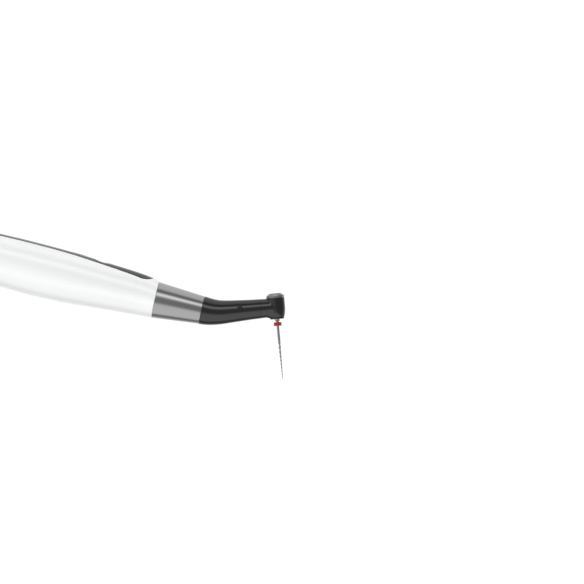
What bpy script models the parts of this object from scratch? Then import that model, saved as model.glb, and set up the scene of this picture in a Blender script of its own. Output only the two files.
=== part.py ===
"""Endodontic motor: a cordless dental handpiece with a pull-off, swivelling contra-angle, a planetary
and bevel gear train, a push-button latch chuck and a rotary root-canal file.

Frame: +X runs along the drive axis from the rear seat towards the head, +Z is the button side, the
origin is where the drive axis meets the flat rear face. Lengths below are millimetres, scaled by MM.
"""
import math

import bmesh
import bpy
from mathutils import Matrix, Vector

MM = 0.001

# ---------------------------------------------------------------- driving dimensions (mm)
BODY_LEN = 118.0        # rear seat face to the parting plane at the collar
WALL = 1.3              # handle shell wall
COLLAR_LEN = 20.6       # grey collar
COLLAR_R_REAR, COLLAR_R_FRONT = 8.05, 6.2
BEND_X = BODY_LEN + 25.6    # where the drive axis and the neck axis cross
BEND_DEG = 17.7         # bend of the neck
BEND_R = 32.0           # radius of the bent centreline
HEAD_Q = 27.3           # from the crossing point to the head axis, along the neck
HEAD_R = 4.0            # head radius
NECK_END_Q = 20.7       # neck tube ends, head casting begins
NECK_DROP = 0.2         # the neck's outside sits this far below its bores at the head
SHANK_R = 1.175         # latch shank, 2.35 mm diameter
FILE_LEN = 25.0         # shank end to file tip
PRESS = 0.6             # push-button travel
PULL = 14.0             # contra-angle pull-off travel

SLOPE = math.radians(BEND_DEG)
COL = "endodontic_motor"

# handle outline: x, half width, top z, bottom z, section exponent
SECTIONS = [
    (0.0, 5.2, 9.6, -1.4, 2.3),
    (0.7, 6.7, 11.0, -2.7, 2.3),
    (2.4, 7.9, 12.1, -3.7, 2.25),
    (6.0, 9.0, 12.9, -4.6, 2.2),
    (12.0, 9.9, 13.35, -5.5, 2.2),
    (20.0, 10.7, 13.6, -6.4, 2.2),
    (30.0, 11.4, 13.75, -7.6, 2.2),
    (42.0, 11.95, 13.75, -8.7, 2.2),
    (54.5, 12.2, 13.6, -9.55, 2.2),
    (67.5, 12.1, 13.2, -10.1, 2.2),
    (75.0, 11.8, 12.85, -10.1, 2.18),
    (83.0, 11.3, 12.35, -9.85, 2.15),
    (91.0, 10.6, 11.65, -9.4, 2.12),
    (99.0, 9.75, 11.0, -8.95, 2.08),
    (106.0, 9.0, 10.4, -8.55, 2.04),
    (112.0, 8.45, 9.7, -8.3, 2.0),
    (116.0, 8.2, 8.9, -8.15, 2.0),
    (117.85, 8.1, 8.4, -8.1, 2.0),
]


def section_at(x):
    """Handle section at x, linear between the listed ones."""
    for a, b in zip(SECTIONS, SECTIONS[1:]):
        if x <= b[0]:
            t = (x - a[0]) / (b[0] - a[0])
            return tuple(p + (q - p) * t for p, q in zip(a, b))
    return SECTIONS[-1]


def section_ring(x, inset=0.0, n=32):
    _, hw, top, bot, e = section_at(x)
    hw, top, bot = hw - inset, top - inset, bot + inset
    zc, h = (top + bot) / 2, (top - bot) / 2
    ring = []
    for i in range(n):
        a = 2 * math.pi * i / n
        c, s = math.cos(a), math.sin(a)
        ring.append((x, hw * math.copysign(abs(c) ** (2 / e), c), zc + h * math.copysign(abs(s) ** (2 / e), s)))
    return ring


# ---------------------------------------------------------------- scene
for o in list(bpy.data.objects):
    bpy.data.objects.remove(o, do_unlink=True)
parts = bpy.data.collections.new(COL)
cutters = bpy.data.collections.new("cutters")
bpy.context.scene.collection.children.link(parts)
bpy.context.scene.collection.children.link(cutters)


def material(name, color, rough, metal=0.0):
    m = bpy.data.materials.new(name)
    m.use_nodes = True
    b = m.node_tree.nodes["Principled BSDF"]
    b.inputs["Base Color"].default_value = (*color, 1)
    b.inputs["Roughness"].default_value = rough
    b.inputs["Metallic"].default_value = metal
    m.diffuse_color = (*color, 1)
    return m


M = {
    "white": material("white_plastic", (0.86, 0.87, 0.88), 0.25),
    "panel": material("panel_dark", (0.055, 0.058, 0.065), 0.2),
    "button": material("button_grey", (0.30, 0.31, 0.33), 0.4),
    "lens": material("lens_smoke", (0.25, 0.28, 0.3), 0.1),
    "collar": material("collar_grey", (0.36, 0.36, 0.37), 0.25, 0.3),
    "black": material("neck_black", (0.035, 0.035, 0.037), 0.25),
    "cap": material("cap_grey", (0.28, 0.28, 0.29), 0.3, 0.2),
    "steel": material("steel", (0.62, 0.62, 0.63), 0.2, 1.0),
    "niti": material("nickel_titanium", (0.55, 0.55, 0.56), 0.25, 1.0),
    "red": material("red_silicone", (0.55, 0.01, 0.012), 0.45),
    "brass": material("brass", (0.72, 0.53, 0.25), 0.3, 1.0),
    "gold": material("gold_plate", (0.85, 0.62, 0.25), 0.2, 1.0),
    "pcb": material("board_green", (0.02, 0.16, 0.07), 0.45),
    "dark": material("moulded_grey", (0.12, 0.12, 0.125), 0.55),
    "rubber": material("black_rubber", (0.02, 0.02, 0.02), 0.7),
    "cell": material("cell_wrap", (0.05, 0.17, 0.38), 0.35),
    "red_wire": material("wire_red", (0.5, 0.02, 0.02), 0.5),
    "black_wire": material("wire_black", (0.02, 0.02, 0.02), 0.5),
}


def empty(name, loc, rot=(0, 0, 0), parent=None):
    e = bpy.data.objects.new(name, None)
    parts.objects.link(e)
    e.location = Vector(loc) * MM
    e.rotation_euler = rot
    e.empty_display_size = 0.002
    e.parent = parent
    return e


MOTOR = empty("motor_frame", (0, 0, 0))
DRIVE = empty("drive_axis", (0, 0, 0), (0, math.pi / 2, 0), MOTOR)      # local +Z is the drive axis, +X world
NECK = empty("neck_frame", (BEND_X, 0, 0), (0, -SLOPE, 0), MOTOR)       # local +X along the neck
NECK_AX = empty("neck_axis", (0, 0, 0), (0, math.pi / 2, 0), NECK)      # local +Z along the neck
HEAD = empty("head_frame", (HEAD_Q, 0, 0), (0, 0, 0), NECK)             # local +Z up the head axis


def add(obj, mat=None, parent=MOTOR, cutter=False):
    (cutters if cutter else parts).objects.link(obj)
    obj.parent = parent
    if mat:
        obj.data.materials.append(M[mat])
    if cutter:
        obj.hide_render = True
        obj.display_type = "WIRE"
    return obj


def smooth(obj, angle=35):
    if obj.type == "MESH" and not obj.modifiers:
        obj.data.shade_smooth()
        obj.data.set_sharp_from_angle(angle=math.radians(angle))
    return obj


def turned(name, profile, mat, steps=18, parent=DRIVE, loc=(0, 0, 0), cutter=False, solid=False):
    """Revolves (radius, height) points about local Z. With solid, the profile starts and ends on the axis."""
    area = sum(a[0] * b[1] - b[0] * a[1] for a, b in zip(profile, profile[1:] + profile[:1]))
    if area > 0:
        profile = profile[::-1]
    mesh = bpy.data.meshes.new(name)
    n = len(profile)
    edges = [(i, i + 1) for i in range(n - 1)] + ([] if solid else [(n - 1, 0)])
    mesh.from_pydata([(r * MM, 0, z * MM) for r, z in profile], edges, [])
    obj = add(bpy.data.objects.new(name, mesh), mat, parent, cutter)
    obj.location = Vector(loc) * MM
    s = obj.modifiers.new("turn", "SCREW")
    s.axis, s.angle, s.steps, s.render_steps = "Z", 2 * math.pi, steps, steps
    s.use_merge_vertices, s.merge_threshold = True, 0.000002
    s.use_smooth_shade = True
    return obj


def ring(name, r_in, r_out, z0, z1, mat, **k):
    return turned(name, [(r_in, z1), (r_out, z1), (r_out, z0), (r_in, z0)], mat, **k)


def cylinder(name, r, z0, z1, mat=None, parent=DRIVE, loc=(0, 0, 0), n=24, cutter=False, rot=(0, 0, 0), r2=None):
    mesh = bpy.data.meshes.new(name)
    bm = bmesh.new()
    bmesh.ops.create_cone(bm, cap_ends=True, segments=n, radius1=r * MM, radius2=(r if r2 is None else r2) * MM,
                          depth=(z1 - z0) * MM, matrix=Matrix.Translation((0, 0, (z0 + z1) / 2 * MM)))
    bm.to_mesh(mesh)
    bm.free()
    obj = add(bpy.data.objects.new(name, mesh), mat, parent, cutter)
    obj.location = Vector(loc) * MM
    obj.rotation_euler = rot
    return smooth(obj)


def box(name, lo, hi, mat=None, parent=MOTOR, cutter=False, bevel=0.0, segments=2):
    mesh = bpy.data.meshes.new(name)
    bm = bmesh.new()
    lo, hi = Vector(lo) * MM, Vector(hi) * MM
    size = hi - lo
    bmesh.ops.create_cube(bm, size=1.0, matrix=Matrix.Translation((lo + hi) / 2) @ Matrix.Diagonal((*size, 1)))
    bm.to_mesh(mesh)
    bm.free()
    obj = add(bpy.data.objects.new(name, mesh), mat, parent, cutter)
    if bevel:
        b = obj.modifiers.new("edge", "BEVEL")
        b.width, b.segments, b.limit_method = bevel * MM, segments, "ANGLE"
    return obj


def outline(name, points, z0, z1, mat=None, parent=MOTOR, cutter=False, holes=()):
    """A flat outline in local XY, extruded from z0 to z1, made as a filled 2D curve and kept as a mesh."""
    c = bpy.data.curves.new(name, "CURVE")
    c.dimensions, c.fill_mode = "2D", "BOTH"
    c.extrude = (z1 - z0) / 2 * MM
    for loop in (points, *holes):
        s = c.splines.new("POLY")
        s.points.add(len(loop) - 1)
        for p, (x, y) in zip(s.points, loop):
            p.co = (x * MM, y * MM, 0, 1)
        s.use_cyclic_u = True
    o = bpy.data.objects.new(name + "_curve", c)
    bpy.context.scene.collection.objects.link(o)
    mesh = bpy.data.meshes.new_from_object(o.evaluated_get(bpy.context.evaluated_depsgraph_get()))
    bpy.data.objects.remove(o, do_unlink=True)
    bm = bmesh.new()
    bm.from_mesh(mesh)
    bmesh.ops.remove_doubles(bm, verts=bm.verts, dist=0.0000005)
    bmesh.ops.recalc_face_normals(bm, faces=bm.faces)
    bmesh.ops.translate(bm, verts=bm.verts, vec=(0, 0, (z0 + z1) / 2 * MM))
    bm.to_mesh(mesh)
    bm.free()
    mesh.name = name
    return smooth(add(bpy.data.objects.new(name, mesh), mat, parent, cutter))


def loft(name, rings, mat=None, parent=MOTOR, loop=False, cutter=False, caps=True):
    """Skins rings of equal count. With loop, the last ring joins the first, as in a tube with a wall."""
    mesh = bpy.data.meshes.new(name)
    bm = bmesh.new()
    rows = [[bm.verts.new(Vector(p) * MM) for p in r] for r in rings]
    n = len(rows[0])
    pairs = list(zip(rows, rows[1:])) + ([(rows[-1], rows[0])] if loop else [])
    for a, b in pairs:
        for i in range(n):
            j = (i + 1) % n
            bm.faces.new((a[i], a[j], b[j], b[i]))
    if caps and not loop:
        bm.faces.new(rows[0][::-1])
        bm.faces.new(rows[-1])
    if caps or loop:
        bmesh.ops.recalc_face_normals(bm, faces=bm.faces)
    bm.to_mesh(mesh)
    bm.free()
    return smooth(add(bpy.data.objects.new(name, mesh), mat, parent, cutter))


def boolean(obj, cutter, operation="DIFFERENCE"):
    m = obj.modifiers.new(operation.lower(), "BOOLEAN")
    m.operation, m.object, m.solver = operation, cutter, "EXACT"
    return obj


def bake(obj):
    """Replaces the object's mesh with its evaluated one and clears the modifiers."""
    bpy.context.view_layer.update()
    mesh = bpy.data.meshes.new_from_object(obj.evaluated_get(bpy.context.evaluated_depsgraph_get()))
    obj.modifiers.clear()
    obj.data = mesh
    return smooth(obj)


def fuse(obj, *others, operation="UNION"):
    """Applies a Boolean with each of the others, and then removes them."""
    for other in others:
        boolean(obj, other, operation)
        bake(obj)
        bpy.data.objects.remove(other, do_unlink=True)
    return obj


# ---------------------------------------------------------------- handle casing
shell_skin = loft("handle_shell", [section_ring(x) for x in
                  [12.15] + [s[0] for s in SECTIONS if 13 < s[0] < 117] + [117.85]], "white", caps=False)
bm = bmesh.new()
bm.from_mesh(shell_skin.data)
bmesh.ops.recalc_face_normals(bm, faces=bm.faces)
if sum(f.normal.dot(f.calc_center_median() - Vector((f.calc_center_median().x, 0, 0.002))) for f in bm.faces) < 0:
    bmesh.ops.reverse_faces(bm, faces=bm.faces)
bm.to_mesh(shell_skin.data)
bm.free()
w = shell_skin.modifiers.new("wall", "SOLIDIFY")
w.thickness, w.offset, w.use_even_offset, w.use_rim = WALL * MM, -1, True, True
bake(shell_skin)
panel_blank = bpy.data.objects.new("top_panel", shell_skin.data.copy())
add(panel_blank, None, MOTOR)
panel_blank.data.materials.clear()
panel_blank.data.materials.append(M["panel"])


def strip_outline(grow=0.0, n=9):
    """The dark control strip seen from above: a pointed front tip, straight sides, a round rear end."""
    half, x_tip, x_full, x_rear = 5.2 + grow, 115.2 + grow, 110.0, 38.0
    pts = []
    for i in range(n + 1):            # front: one side, running to the tip
        t = i / n
        pts.append((x_full + (x_tip - x_full) * math.sin(t * math.pi / 2), -half * math.cos(t * math.pi / 2) ** 0.85 if i < n else 0.0))
    front = pts + [(x, -y) for x, y in pts[-2::-1]]
    rear = [(x_rear - (6.0 + grow) * math.sin(math.pi * i / (2 * n)), half * math.cos(math.pi * i / (2 * n))) for i in range(n)]
    rear += [(x, -y) for x, y in [(x_rear - (6.0 + grow), 0)] + rear[::-1]]
    return front + rear


boolean(shell_skin, outline("strip_slot_cut", strip_outline(0.12), 3.2, 20.0, cutter=True))
boolean(panel_blank, outline("strip_keep", strip_outline(0.0), 3.2, 20.0, cutter=True), "INTERSECT")
bake(shell_skin)

# buttons stand square to the sloping top surface
START_X, MODE_X, LENS_X = 92.0, 81.5, 71.5


def top_z(x):
    return section_at(x)[2]


def top_frame(name, x):
    slope = math.atan2(top_z(x - 3) - top_z(x + 3), 6.0)
    return empty(name, (x, 0, top_z(x)), (0, slope, 0), MOTOR)


START_F = top_frame("start_button_axis", START_X)
MODE_F = top_frame("mode_button_axis", MODE_X)
LENS_F = top_frame("status_lens_axis", LENS_X)


def pill(length, width, n=10):
    r, s = width / 2, (length - width) / 2
    return ([(s + r * math.cos(a), r * math.sin(a)) for a in (math.pi * (i / n - 0.5) for i in range(n + 1))]
            + [(-s - r * math.cos(a), -r * math.sin(a)) for a in (math.pi * (i / n - 0.5) for i in range(n + 1))])


boolean(panel_blank, cylinder("start_hole", 4.1, -4, 3, parent=START_F, n=20, cutter=True))
boolean(panel_blank, outline("mode_hole", pill(6.2, 3.4), -4, 3, parent=MODE_F, cutter=True))
boolean(panel_blank, outline("lens_hole", pill(8.2, 2.2), -4, 3, parent=LENS_F, cutter=True))
bake(panel_blank)

start = turned("start_button", [(0, -0.35), (2.6, -0.22), (3.5, 0.0), (3.85, -0.15), (3.9, -0.3), (3.9, -2.35), (4.4, -2.4),
                                (4.4, -2.75), (0, -2.75)], "button", steps=20, parent=START_F, solid=True)
mode = outline("mode_button", pill(5.9, 3.1), -1.6, 0.05, "button", MODE_F)
fuse(mode, outline("mode_flange", pill(6.9, 4.1), -2.05, -1.55, None, MODE_F))
fuse(mode, cylinder("mode_stem", 0.8, -3.0, -1.9, parent=MODE_F, n=12, cutter=True))
outline("status_lens", pill(7.9, 1.9), -3.4, -0.02, "lens", LENS_F)

# ---------------------------------------------------------------- rear cap
cap_x = [s[0] for s in SECTIONS if s[0] < 12] + [11.85]
rear_skin = loft("rear_cap", [section_ring(x) for x in cap_x], "white", caps=False)
bm = bmesh.new()
bm.from_mesh(rear_skin.data)
bm.verts.ensure_lookup_table()
bm.faces.new([bm.verts[i] for i in range(32)])
bmesh.ops.recalc_face_normals(bm, faces=bm.faces)
if sum(f.normal.x for f in bm.faces if len(f.verts) == 32) > 0:
    bmesh.ops.reverse_faces(bm, faces=bm.faces)
bm.to_mesh(rear_skin.data)
bm.free()
w = rear_skin.modifiers.new("wall", "SOLIDIFY")
w.thickness, w.offset, w.use_even_offset, w.use_rim = WALL * MM, -1, True, True
bake(rear_skin)
CONTACT_Y, CONTACT_Z = 2.2, 6.4
SCREW_Y, SCREW_Z = 3.7, 2.6
for side, sy in (("left", 1), ("right", -1)):
    boolean(rear_skin, cylinder(f"contact_hole_{side}", 1.02, -2, 3, parent=DRIVE, loc=(-CONTACT_Z, sy * CONTACT_Y, 0), n=16, cutter=True))
    bake(rear_skin)
    boolean(rear_skin, turned(f"cap_screw_hole_{side}", [(0, -1), (1.2, -1), (1.2, 0.75), (0.85, 1.0), (0.85, 3), (0, 3)], None, 16,
                              parent=DRIVE, loc=(-SCREW_Z, sy * SCREW_Y, 0), cutter=True, solid=True))
    bake(rear_skin)
    # a sprung gold pin, just under the rear face
    turned(f"charge_contact_{side}", [(0, 0.15), (0.6, 0.15), (0.9, 0.4), (0.9, 2.2), (1.4, 2.25), (1.4, 3.0), (0.5, 3.05), (0.5, 4.0), (0, 4.0)],
           "gold", 16, parent=DRIVE, loc=(-CONTACT_Z, sy * CONTACT_Y, 0), solid=True)
    turned(f"rear_cap_screw_{side}", [(0, 0.55), (0.45, 0.55), (0.45, 0.1), (1.1, 0.1), (1.1, 0.7), (0.65, 1.1), (0.65, 15.0), (0, 15.2)],
           "steel", 12, parent=DRIVE, loc=(-SCREW_Z, sy * SCREW_Y, 0), solid=True)

# a soft gasket, seated inside the joint between cap and shell
loft("rear_gasket", [section_ring(11.2, 1.6, 32), section_ring(12.8, 1.6, 32), section_ring(12.8, 2.4, 32), section_ring(11.2, 2.4, 32)],
     "rubber", loop=True)

# ---------------------------------------------------------------- inner frame, cell, board
frame = loft("inner_frame", [section_ring(x, 1.75, 24) for x in (16.6, 20, 30, 42, 54.5, 67.5, 75, 83, 91, 99, 106.5)], "dark")
fuse(frame, box("frame_top_cut", (-5, -20, -0.6), (130, 20, 30), cutter=True), operation="DIFFERENCE")
CELL_Z, CELL_R, CELL_X0, CELL_X1 = 3.9, 7.0, 17.2, 66.2
fuse(frame, cylinder("cell_cut", CELL_R + 0.3, 10, 67.2, loc=(-CELL_Z, 0, 0), n=24, cutter=True), operation="DIFFERENCE")
fuse(frame, cylinder("motor_cut", 6.35, 75.5, 120, n=24, cutter=True), operation="DIFFERENCE")
bulkhead = loft("bulkhead", [section_ring(x, 2.7, 24) for x in (13.0, 16.9)])
fuse(frame, bulkhead)
for sy in (1, -1):
    fuse(frame, cylinder("f1", 0.8, 5, 15.8, loc=(-SCREW_Z, sy * SCREW_Y, 0), n=12, cutter=True), operation="DIFFERENCE")
    fuse(frame, cylinder("f2", 0.9, 5, 25, loc=(-8.4, sy * 5.2, 0), n=12, cutter=True), operation="DIFFERENCE")

turned("battery_cell", [(0, CELL_X1 + 0.9), (2.6, CELL_X1 + 0.9), (2.75, CELL_X1 + 0.7), (2.75, CELL_X1), (6.7, CELL_X1), (CELL_R, CELL_X1 - 0.3),
                        (CELL_R, CELL_X0 + 0.3), (6.7, CELL_X0), (0, CELL_X0)], "cell", 24, loc=(-CELL_Z, 0, 0), solid=True)

BOARD_Z0, BOARD_Z1 = 6.6, 7.5
board = outline("control_board", [(68.0, -6.2), (69.5, -7.0), (86.0, -7.0), (92.0, -6.1), (104.0, -3.6), (104.0, 3.6), (92.0, 6.1), (86.0, 7.0), (69.5, 7.0), (68.0, 6.2)],
        BOARD_Z0, BOARD_Z1, "pcb")
box("start_switch", (START_X - 1.8, -1.8, BOARD_Z1 + 0.05), (START_X + 1.8, 1.8, BOARD_Z1 + 0.6), "dark")
box("mode_switch", (MODE_X - 1.5, -1.5, BOARD_Z1 + 0.05), (MODE_X + 1.5, 1.5, BOARD_Z1 + 1.4), "dark")
for lo, hi in (((73.8, -5.6, 7.3), (77.8, -1.6, 8.4)), ((97.8, -1.5, 7.3), (101.0, 1.5, 8.0)), ((94.0, -3.0, 6.1), (101.0, 3.0, 6.8)), ((79.0, -3.0, 6.1), (86.0, 3.0, 6.8))):
    fuse(board, box("board_block", lo, hi, cutter=True))
turned("buzzer", [(0, 6.45), (4.0, 6.45), (4.2, 6.25), (4.2, 4.4), (1.0, 4.4), (1.0, 4.9), (0, 4.9)], "dark", 16, parent=MOTOR, loc=(71.9, 0, 0), solid=True)


def wire(name, pts, r, mat, n=18, parent=MOTOR, resolution=1):
    """A smooth lead through the given points, resampled evenly."""
    P = [Vector(p) for p in pts]
    P = [P[0] * 2 - P[1]] + P + [P[-1] * 2 - P[-2]]
    fine = []
    for a, b, c, d in zip(P, P[1:], P[2:], P[3:]):
        for i in range(12):
            t = i / 12
            fine.append(0.5 * ((2 * b) + (c - a) * t + (2 * a - 5 * b + 4 * c - d) * t * t + (3 * b - a - 3 * c + d) * t ** 3))
    fine.append(P[-2])
    total = sum((q - p).length for p, q in zip(fine, fine[1:]))
    out, run, k = [fine[0]], 0.0, 1
    for p, q in zip(fine, fine[1:]):
        run += (q - p).length
        if run >= total * k / n and k < n:
            out.append(q)
            k += 1
    out.append(fine[-1])
    c = bpy.data.curves.new(name, "CURVE")
    c.dimensions, c.bevel_depth, c.bevel_resolution, c.use_fill_caps = "3D", r * MM, resolution, True
    s = c.splines.new("POLY")
    s.points.add(len(out) - 1)
    for p, v in zip(s.points, out):
        p.co = (*(v * MM), 1)
    return add(bpy.data.objects.new(name, c), mat, parent)


for side, sy, m in (("positive", 1, "red_wire"), ("negative", -1, "black_wire")):
    wire(f"battery_lead_{side}", [(5.5, sy * 2.2, 8.2), (9.5, sy * 4.2, 8.4), (15.0, sy * 5.2, 8.4), (19.5, sy * 5.9, 9.0), (27, sy * 6.2, 9.35),
                                 (42, sy * 6.3, 9.4), (58, sy * 6.2, 9.2), (66.0, sy * 5.6, 8.6), (70.5, sy * 5.2, 8.25)], 0.4, m, n=22)
# ---------------------------------------------------------------- motor
MOTOR_R = 6.0
turned("motor_can", [(2.95, 108.6), (3.6, 108.6), (3.6, 107.3), (5.8, 107.3), (MOTOR_R, 107.1), (MOTOR_R, 78.3), (5.7, 78.0), (5.4, 78.0), (5.4, 106.4), (2.95, 106.4)], "steel", 24)
turned("motor_end_bell", [(1.2, 77.9), (5.9, 77.9), (5.9, 76.6), (5.3, 76.3), (1.2, 76.3)], "dark", 20)
ring("motor_rear_bearing", 1.1, 2.6, 78.1, 79.4, "steel", steps=16)
turned("stator_winding", [(4.7, 104.6), (5.3, 104.3), (5.3, 80.3), (4.7, 80.0)], "brass", 20)
turned("motor_rotor", [(0, 122.6), (0.9, 122.6), (0.98, 122.4), (0.98, 104.2), (4.2, 104.0), (4.4, 103.6), (4.4, 81.4), (4.2, 81.0), (0.98, 80.8),
                       (0.98, 77.2), (0.7, 77.0), (0, 77.0)], "steel", 18, solid=True)
ring("motor_front_bearing", 1.1, 2.85, 106.6, 108.5, "steel", steps=16)

nose_profile = [(2.75, 129.0), (4.5, 129.0), (4.8, 128.6), (4.8, 127.0), (4.25, 126.9), (4.25, 125.7), (4.8, 125.6), (4.8, 120.0),
                (4.25, 119.9), (4.25, 118.7), (4.8, 118.6), (4.8, 117.6), (6.45, 117.6), (6.6, 117.45), (6.6, 109.3), (6.4, 109.1), (3.4, 109.1), (2.75, 109.6)]
nose = turned("motor_nose", nose_profile, "steel", 24)
turned("nose_o_ring_rear", [(4.35, 119.7), (4.9, 119.75), (5.03, 119.5), (5.03, 119.1), (4.9, 118.85), (4.35, 118.9)], "rubber", 20)
turned("nose_o_ring_front", [(4.35, 126.7), (4.9, 126.75), (5.03, 126.5), (5.03, 126.1), (4.9, 125.85), (4.35, 125.9)], "rubber", 20)

# drive dog: a hub with two prongs, on the rotor shaft
dog = turned("drive_dog", [(1.05, 124.2), (2.0, 124.2), (2.3, 123.9), (2.3, 119.4), (2.1, 119.2), (1.05, 119.2)], "steel", 18)
bake(dog)
for sy in (1, -1):
    fuse(dog, box("prong", (-0.7, 1.35 * sy if sy > 0 else -2.15, 123.6), (0.7, 2.15 if sy > 0 else -1.35, 127.2), parent=DRIVE, cutter=True))

# ---------------------------------------------------------------- contra-angle, rear
ring("coupling_ring", 5.1, 5.85, 120.3, 121.3, "brass", steps=20)
turned("collar_sleeve", [(5.15, 118.15), (7.85, 118.15), (8.05, 118.35), (7.1, 128.6), (COLLAR_R_FRONT + 0.02, 138.35), (6.1, 138.5), (5.4, 138.5), (5.4, 130.65),
                         (2.35, 130.65), (2.35, 129.65), (5.15, 129.65), (5.15, 121.6), (5.95, 121.6), (5.95, 120.0), (5.15, 120.0)], "collar", 28)


def toothed(n_teeth, r_root, r_tip, half_root, half_tip, phase):
    """(angle, radius) round a gear, four points a tooth. Angles in degrees."""
    out = []
    for i in range(n_teeth):
        c = phase + 360.0 * i / n_teeth
        out += [(c - half_root, r_root), (c - half_tip, r_tip), (c + half_tip, r_tip), (c + half_root, r_root)]
    return [(math.radians(a), r) for a, r in out]


def polar(points, z, scale=1.0):
    return [(r * scale * math.cos(a), r * scale * math.sin(a), z) for a, r in points]


def circle_like(points, r, z):
    """A circle sampled at the same angles as a gear's outline."""
    return [(r * math.cos(a), r * math.sin(a), z) for a, _ in points]


# planetary stage: 12-tooth sun and planets in a 36-tooth ring, module 0.25 mm
GX0, GX1, PLANET_C = 131.0, 134.3, 3.0
sun_t = toothed(12, 1.2, 1.72, 8.0, 3.0, 0)
blade = [(a, min(2.25, 0.5 / max(1e-6, abs(math.cos(a))))) for a, _ in sun_t]
loft("sun_shaft", [polar(blade, 127.6), polar(blade, 129.2), circle_like(sun_t, 1.15, 129.45), circle_like(sun_t, 1.15, GX0 - 0.1),
                   polar(sun_t, GX0), polar(sun_t, GX1), circle_like(sun_t, 0.9, GX1 + 0.05)], "steel", DRIVE)
ring("sun_shaft_bearing", 1.25, 2.28, 129.75, 130.55, "brass", steps=16)
ring_t = toothed(36, 4.82, 4.29, 3.1, 1.2, 0)
loft("ring_gear", [polar(ring_t, GX0), polar(ring_t, GX1 + 0.3), circle_like(ring_t, 5.32, GX1 + 0.3), circle_like(ring_t, 5.32, GX0)], "brass", DRIVE, loop=True)
planet_t = toothed(12, 1.2, 1.72, 8.0, 3.0, 15)
planet_at = [(PLANET_C * math.cos(math.radians(90 + 120 * k)), PLANET_C * math.sin(math.radians(90 + 120 * k)), 0) for k in range(3)]
for k, at in enumerate(planet_at):
    g = loft(f"planet_gear_{k + 1}", [polar(planet_t, GX0 + 0.15), polar(planet_t, GX1 - 0.05), circle_like(planet_t, 0.62, GX1 - 0.05),
                                      circle_like(planet_t, 0.62, GX0 + 0.15)], "steel", DRIVE, loop=True)
    g.location = Vector(at) * MM

# carrier: a disc with three pins behind it and a stub in front that carries the first bend gear
carrier = turned("planet_carrier", [(0, 141.4), (1.2, 141.4), (1.2, 136.2), (4.4, 136.0), (4.6, 135.8), (4.6, 134.95), (4.4, 134.75), (0, 134.75)], "steel", 20, solid=True)
bake(carrier)
for at in planet_at:
    fuse(carrier, cylinder("pin", 0.55, 131.4, 135.2, loc=at, n=12, cutter=True))
ring("carrier_bearing", 1.28, 4.65, 136.9, 138.2, "brass", steps=18)

# ---------------------------------------------------------------- bend gears: two crown gears, 12 teeth each
CROWN_R0, CROWN_R1, CROWN_BORE = 1.45, 2.4, 1.26


def crown(name, parent, face, back, tip, base, phase, sign):
    """A crown gear whose teeth rise from base to tip along local Z; sign turns it round."""
    pts = []
    for i in range(12):
        c = phase + 30.0 * i
        pts += [(c - 6.6, base), (c - 4.2, tip), (c + 4.2, tip), (c + 6.6, base)]
    pts = [(math.radians(a), z) for a, z in pts]
    def at(r, z=None):
        return [(r * math.cos(a), r * math.sin(a), sign * (h if z is None else z)) for a, h in pts]
    return loft(name, [at(CROWN_R1, back), at(CROWN_R1), at(CROWN_R0), at(CROWN_R0, base - 0.02), at(CROWN_BORE, base - 0.02), at(CROWN_BORE, back)],
                "steel", parent, loop=True)


crown_rear = crown("bend_gear_rear", DRIVE, 0, BEND_X - 2.1, BEND_X - 0.1, BEND_X - 0.78, 0, 1)
crown_front = crown("bend_gear_front", NECK_AX, 0, -2.1, -0.1, -0.78, 15, -1)

# ---------------------------------------------------------------- neck tube
def neck_station(u):
    """Point and direction on the bent centreline, u in mm from the collar's front face."""
    tangent = BEND_R * math.tan(SLOPE / 2)
    x0 = BEND_X - tangent
    start = BODY_LEN + COLLAR_LEN + 0.1
    lead = x0 - start
    arc = BEND_R * SLOPE
    if u < lead:
        return Vector((start + u, 0, 0)), 0.0
    if u < lead + arc:
        a = (u - lead) / BEND_R
        return Vector((x0 + BEND_R * math.sin(a), 0, BEND_R * (1 - math.cos(a)))), a
    v = u - lead - arc
    end = Vector((x0 + BEND_R * math.sin(SLOPE), 0, BEND_R * (1 - math.cos(SLOPE))))
    return end + Vector((math.cos(SLOPE), 0, math.sin(SLOPE))) * v, SLOPE


def tilted_ring(p, a, r, n, side=1.0):
    """A ring square to the centreline."""
    return [(p.x - math.sin(a) * r * math.sin(t), r * side * math.cos(t), p.z + math.cos(a) * r * math.sin(t)) for t in (2 * math.pi * i / n for i in range(n))]


_tan = BEND_R * math.tan(SLOPE / 2)
_start = BODY_LEN + COLLAR_LEN + 0.1
NECK_LEN = (BEND_X - _tan - _start) + BEND_R * SLOPE + (NECK_END_Q - _tan)
# u, outer radius, inner radius, how far the outside sits below the bores
neck_wall = [(0.0, 6.1, 4.8, 0.0), (0.15, 6.17, 4.8, 0.0), (1.2, 6.12, 4.0, 0.0), (3.0, 5.92, 3.55, 0.06), (5.0, 5.66, 3.5, 0.1), (7.0, 5.42, 3.45, 0.13),
             (9.0, 5.2, 3.4, 0.15), (11.0, 5.02, 3.3, 0.18), (13.5, 4.84, 3.15, NECK_DROP), (17.5, 4.59, 3.1, NECK_DROP), (21.5, 4.36, 3.1, NECK_DROP),
             (NECK_LEN - 0.1, 4.2, 3.1, NECK_DROP), (NECK_LEN, 4.13, 3.1, NECK_DROP)]
NN = 24


def outer_ring(u, r, drop):
    p, a = neck_station(u)
    return tilted_ring(p + Vector((math.sin(a), 0, -math.cos(a))) * drop, a, r, NN)


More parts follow.
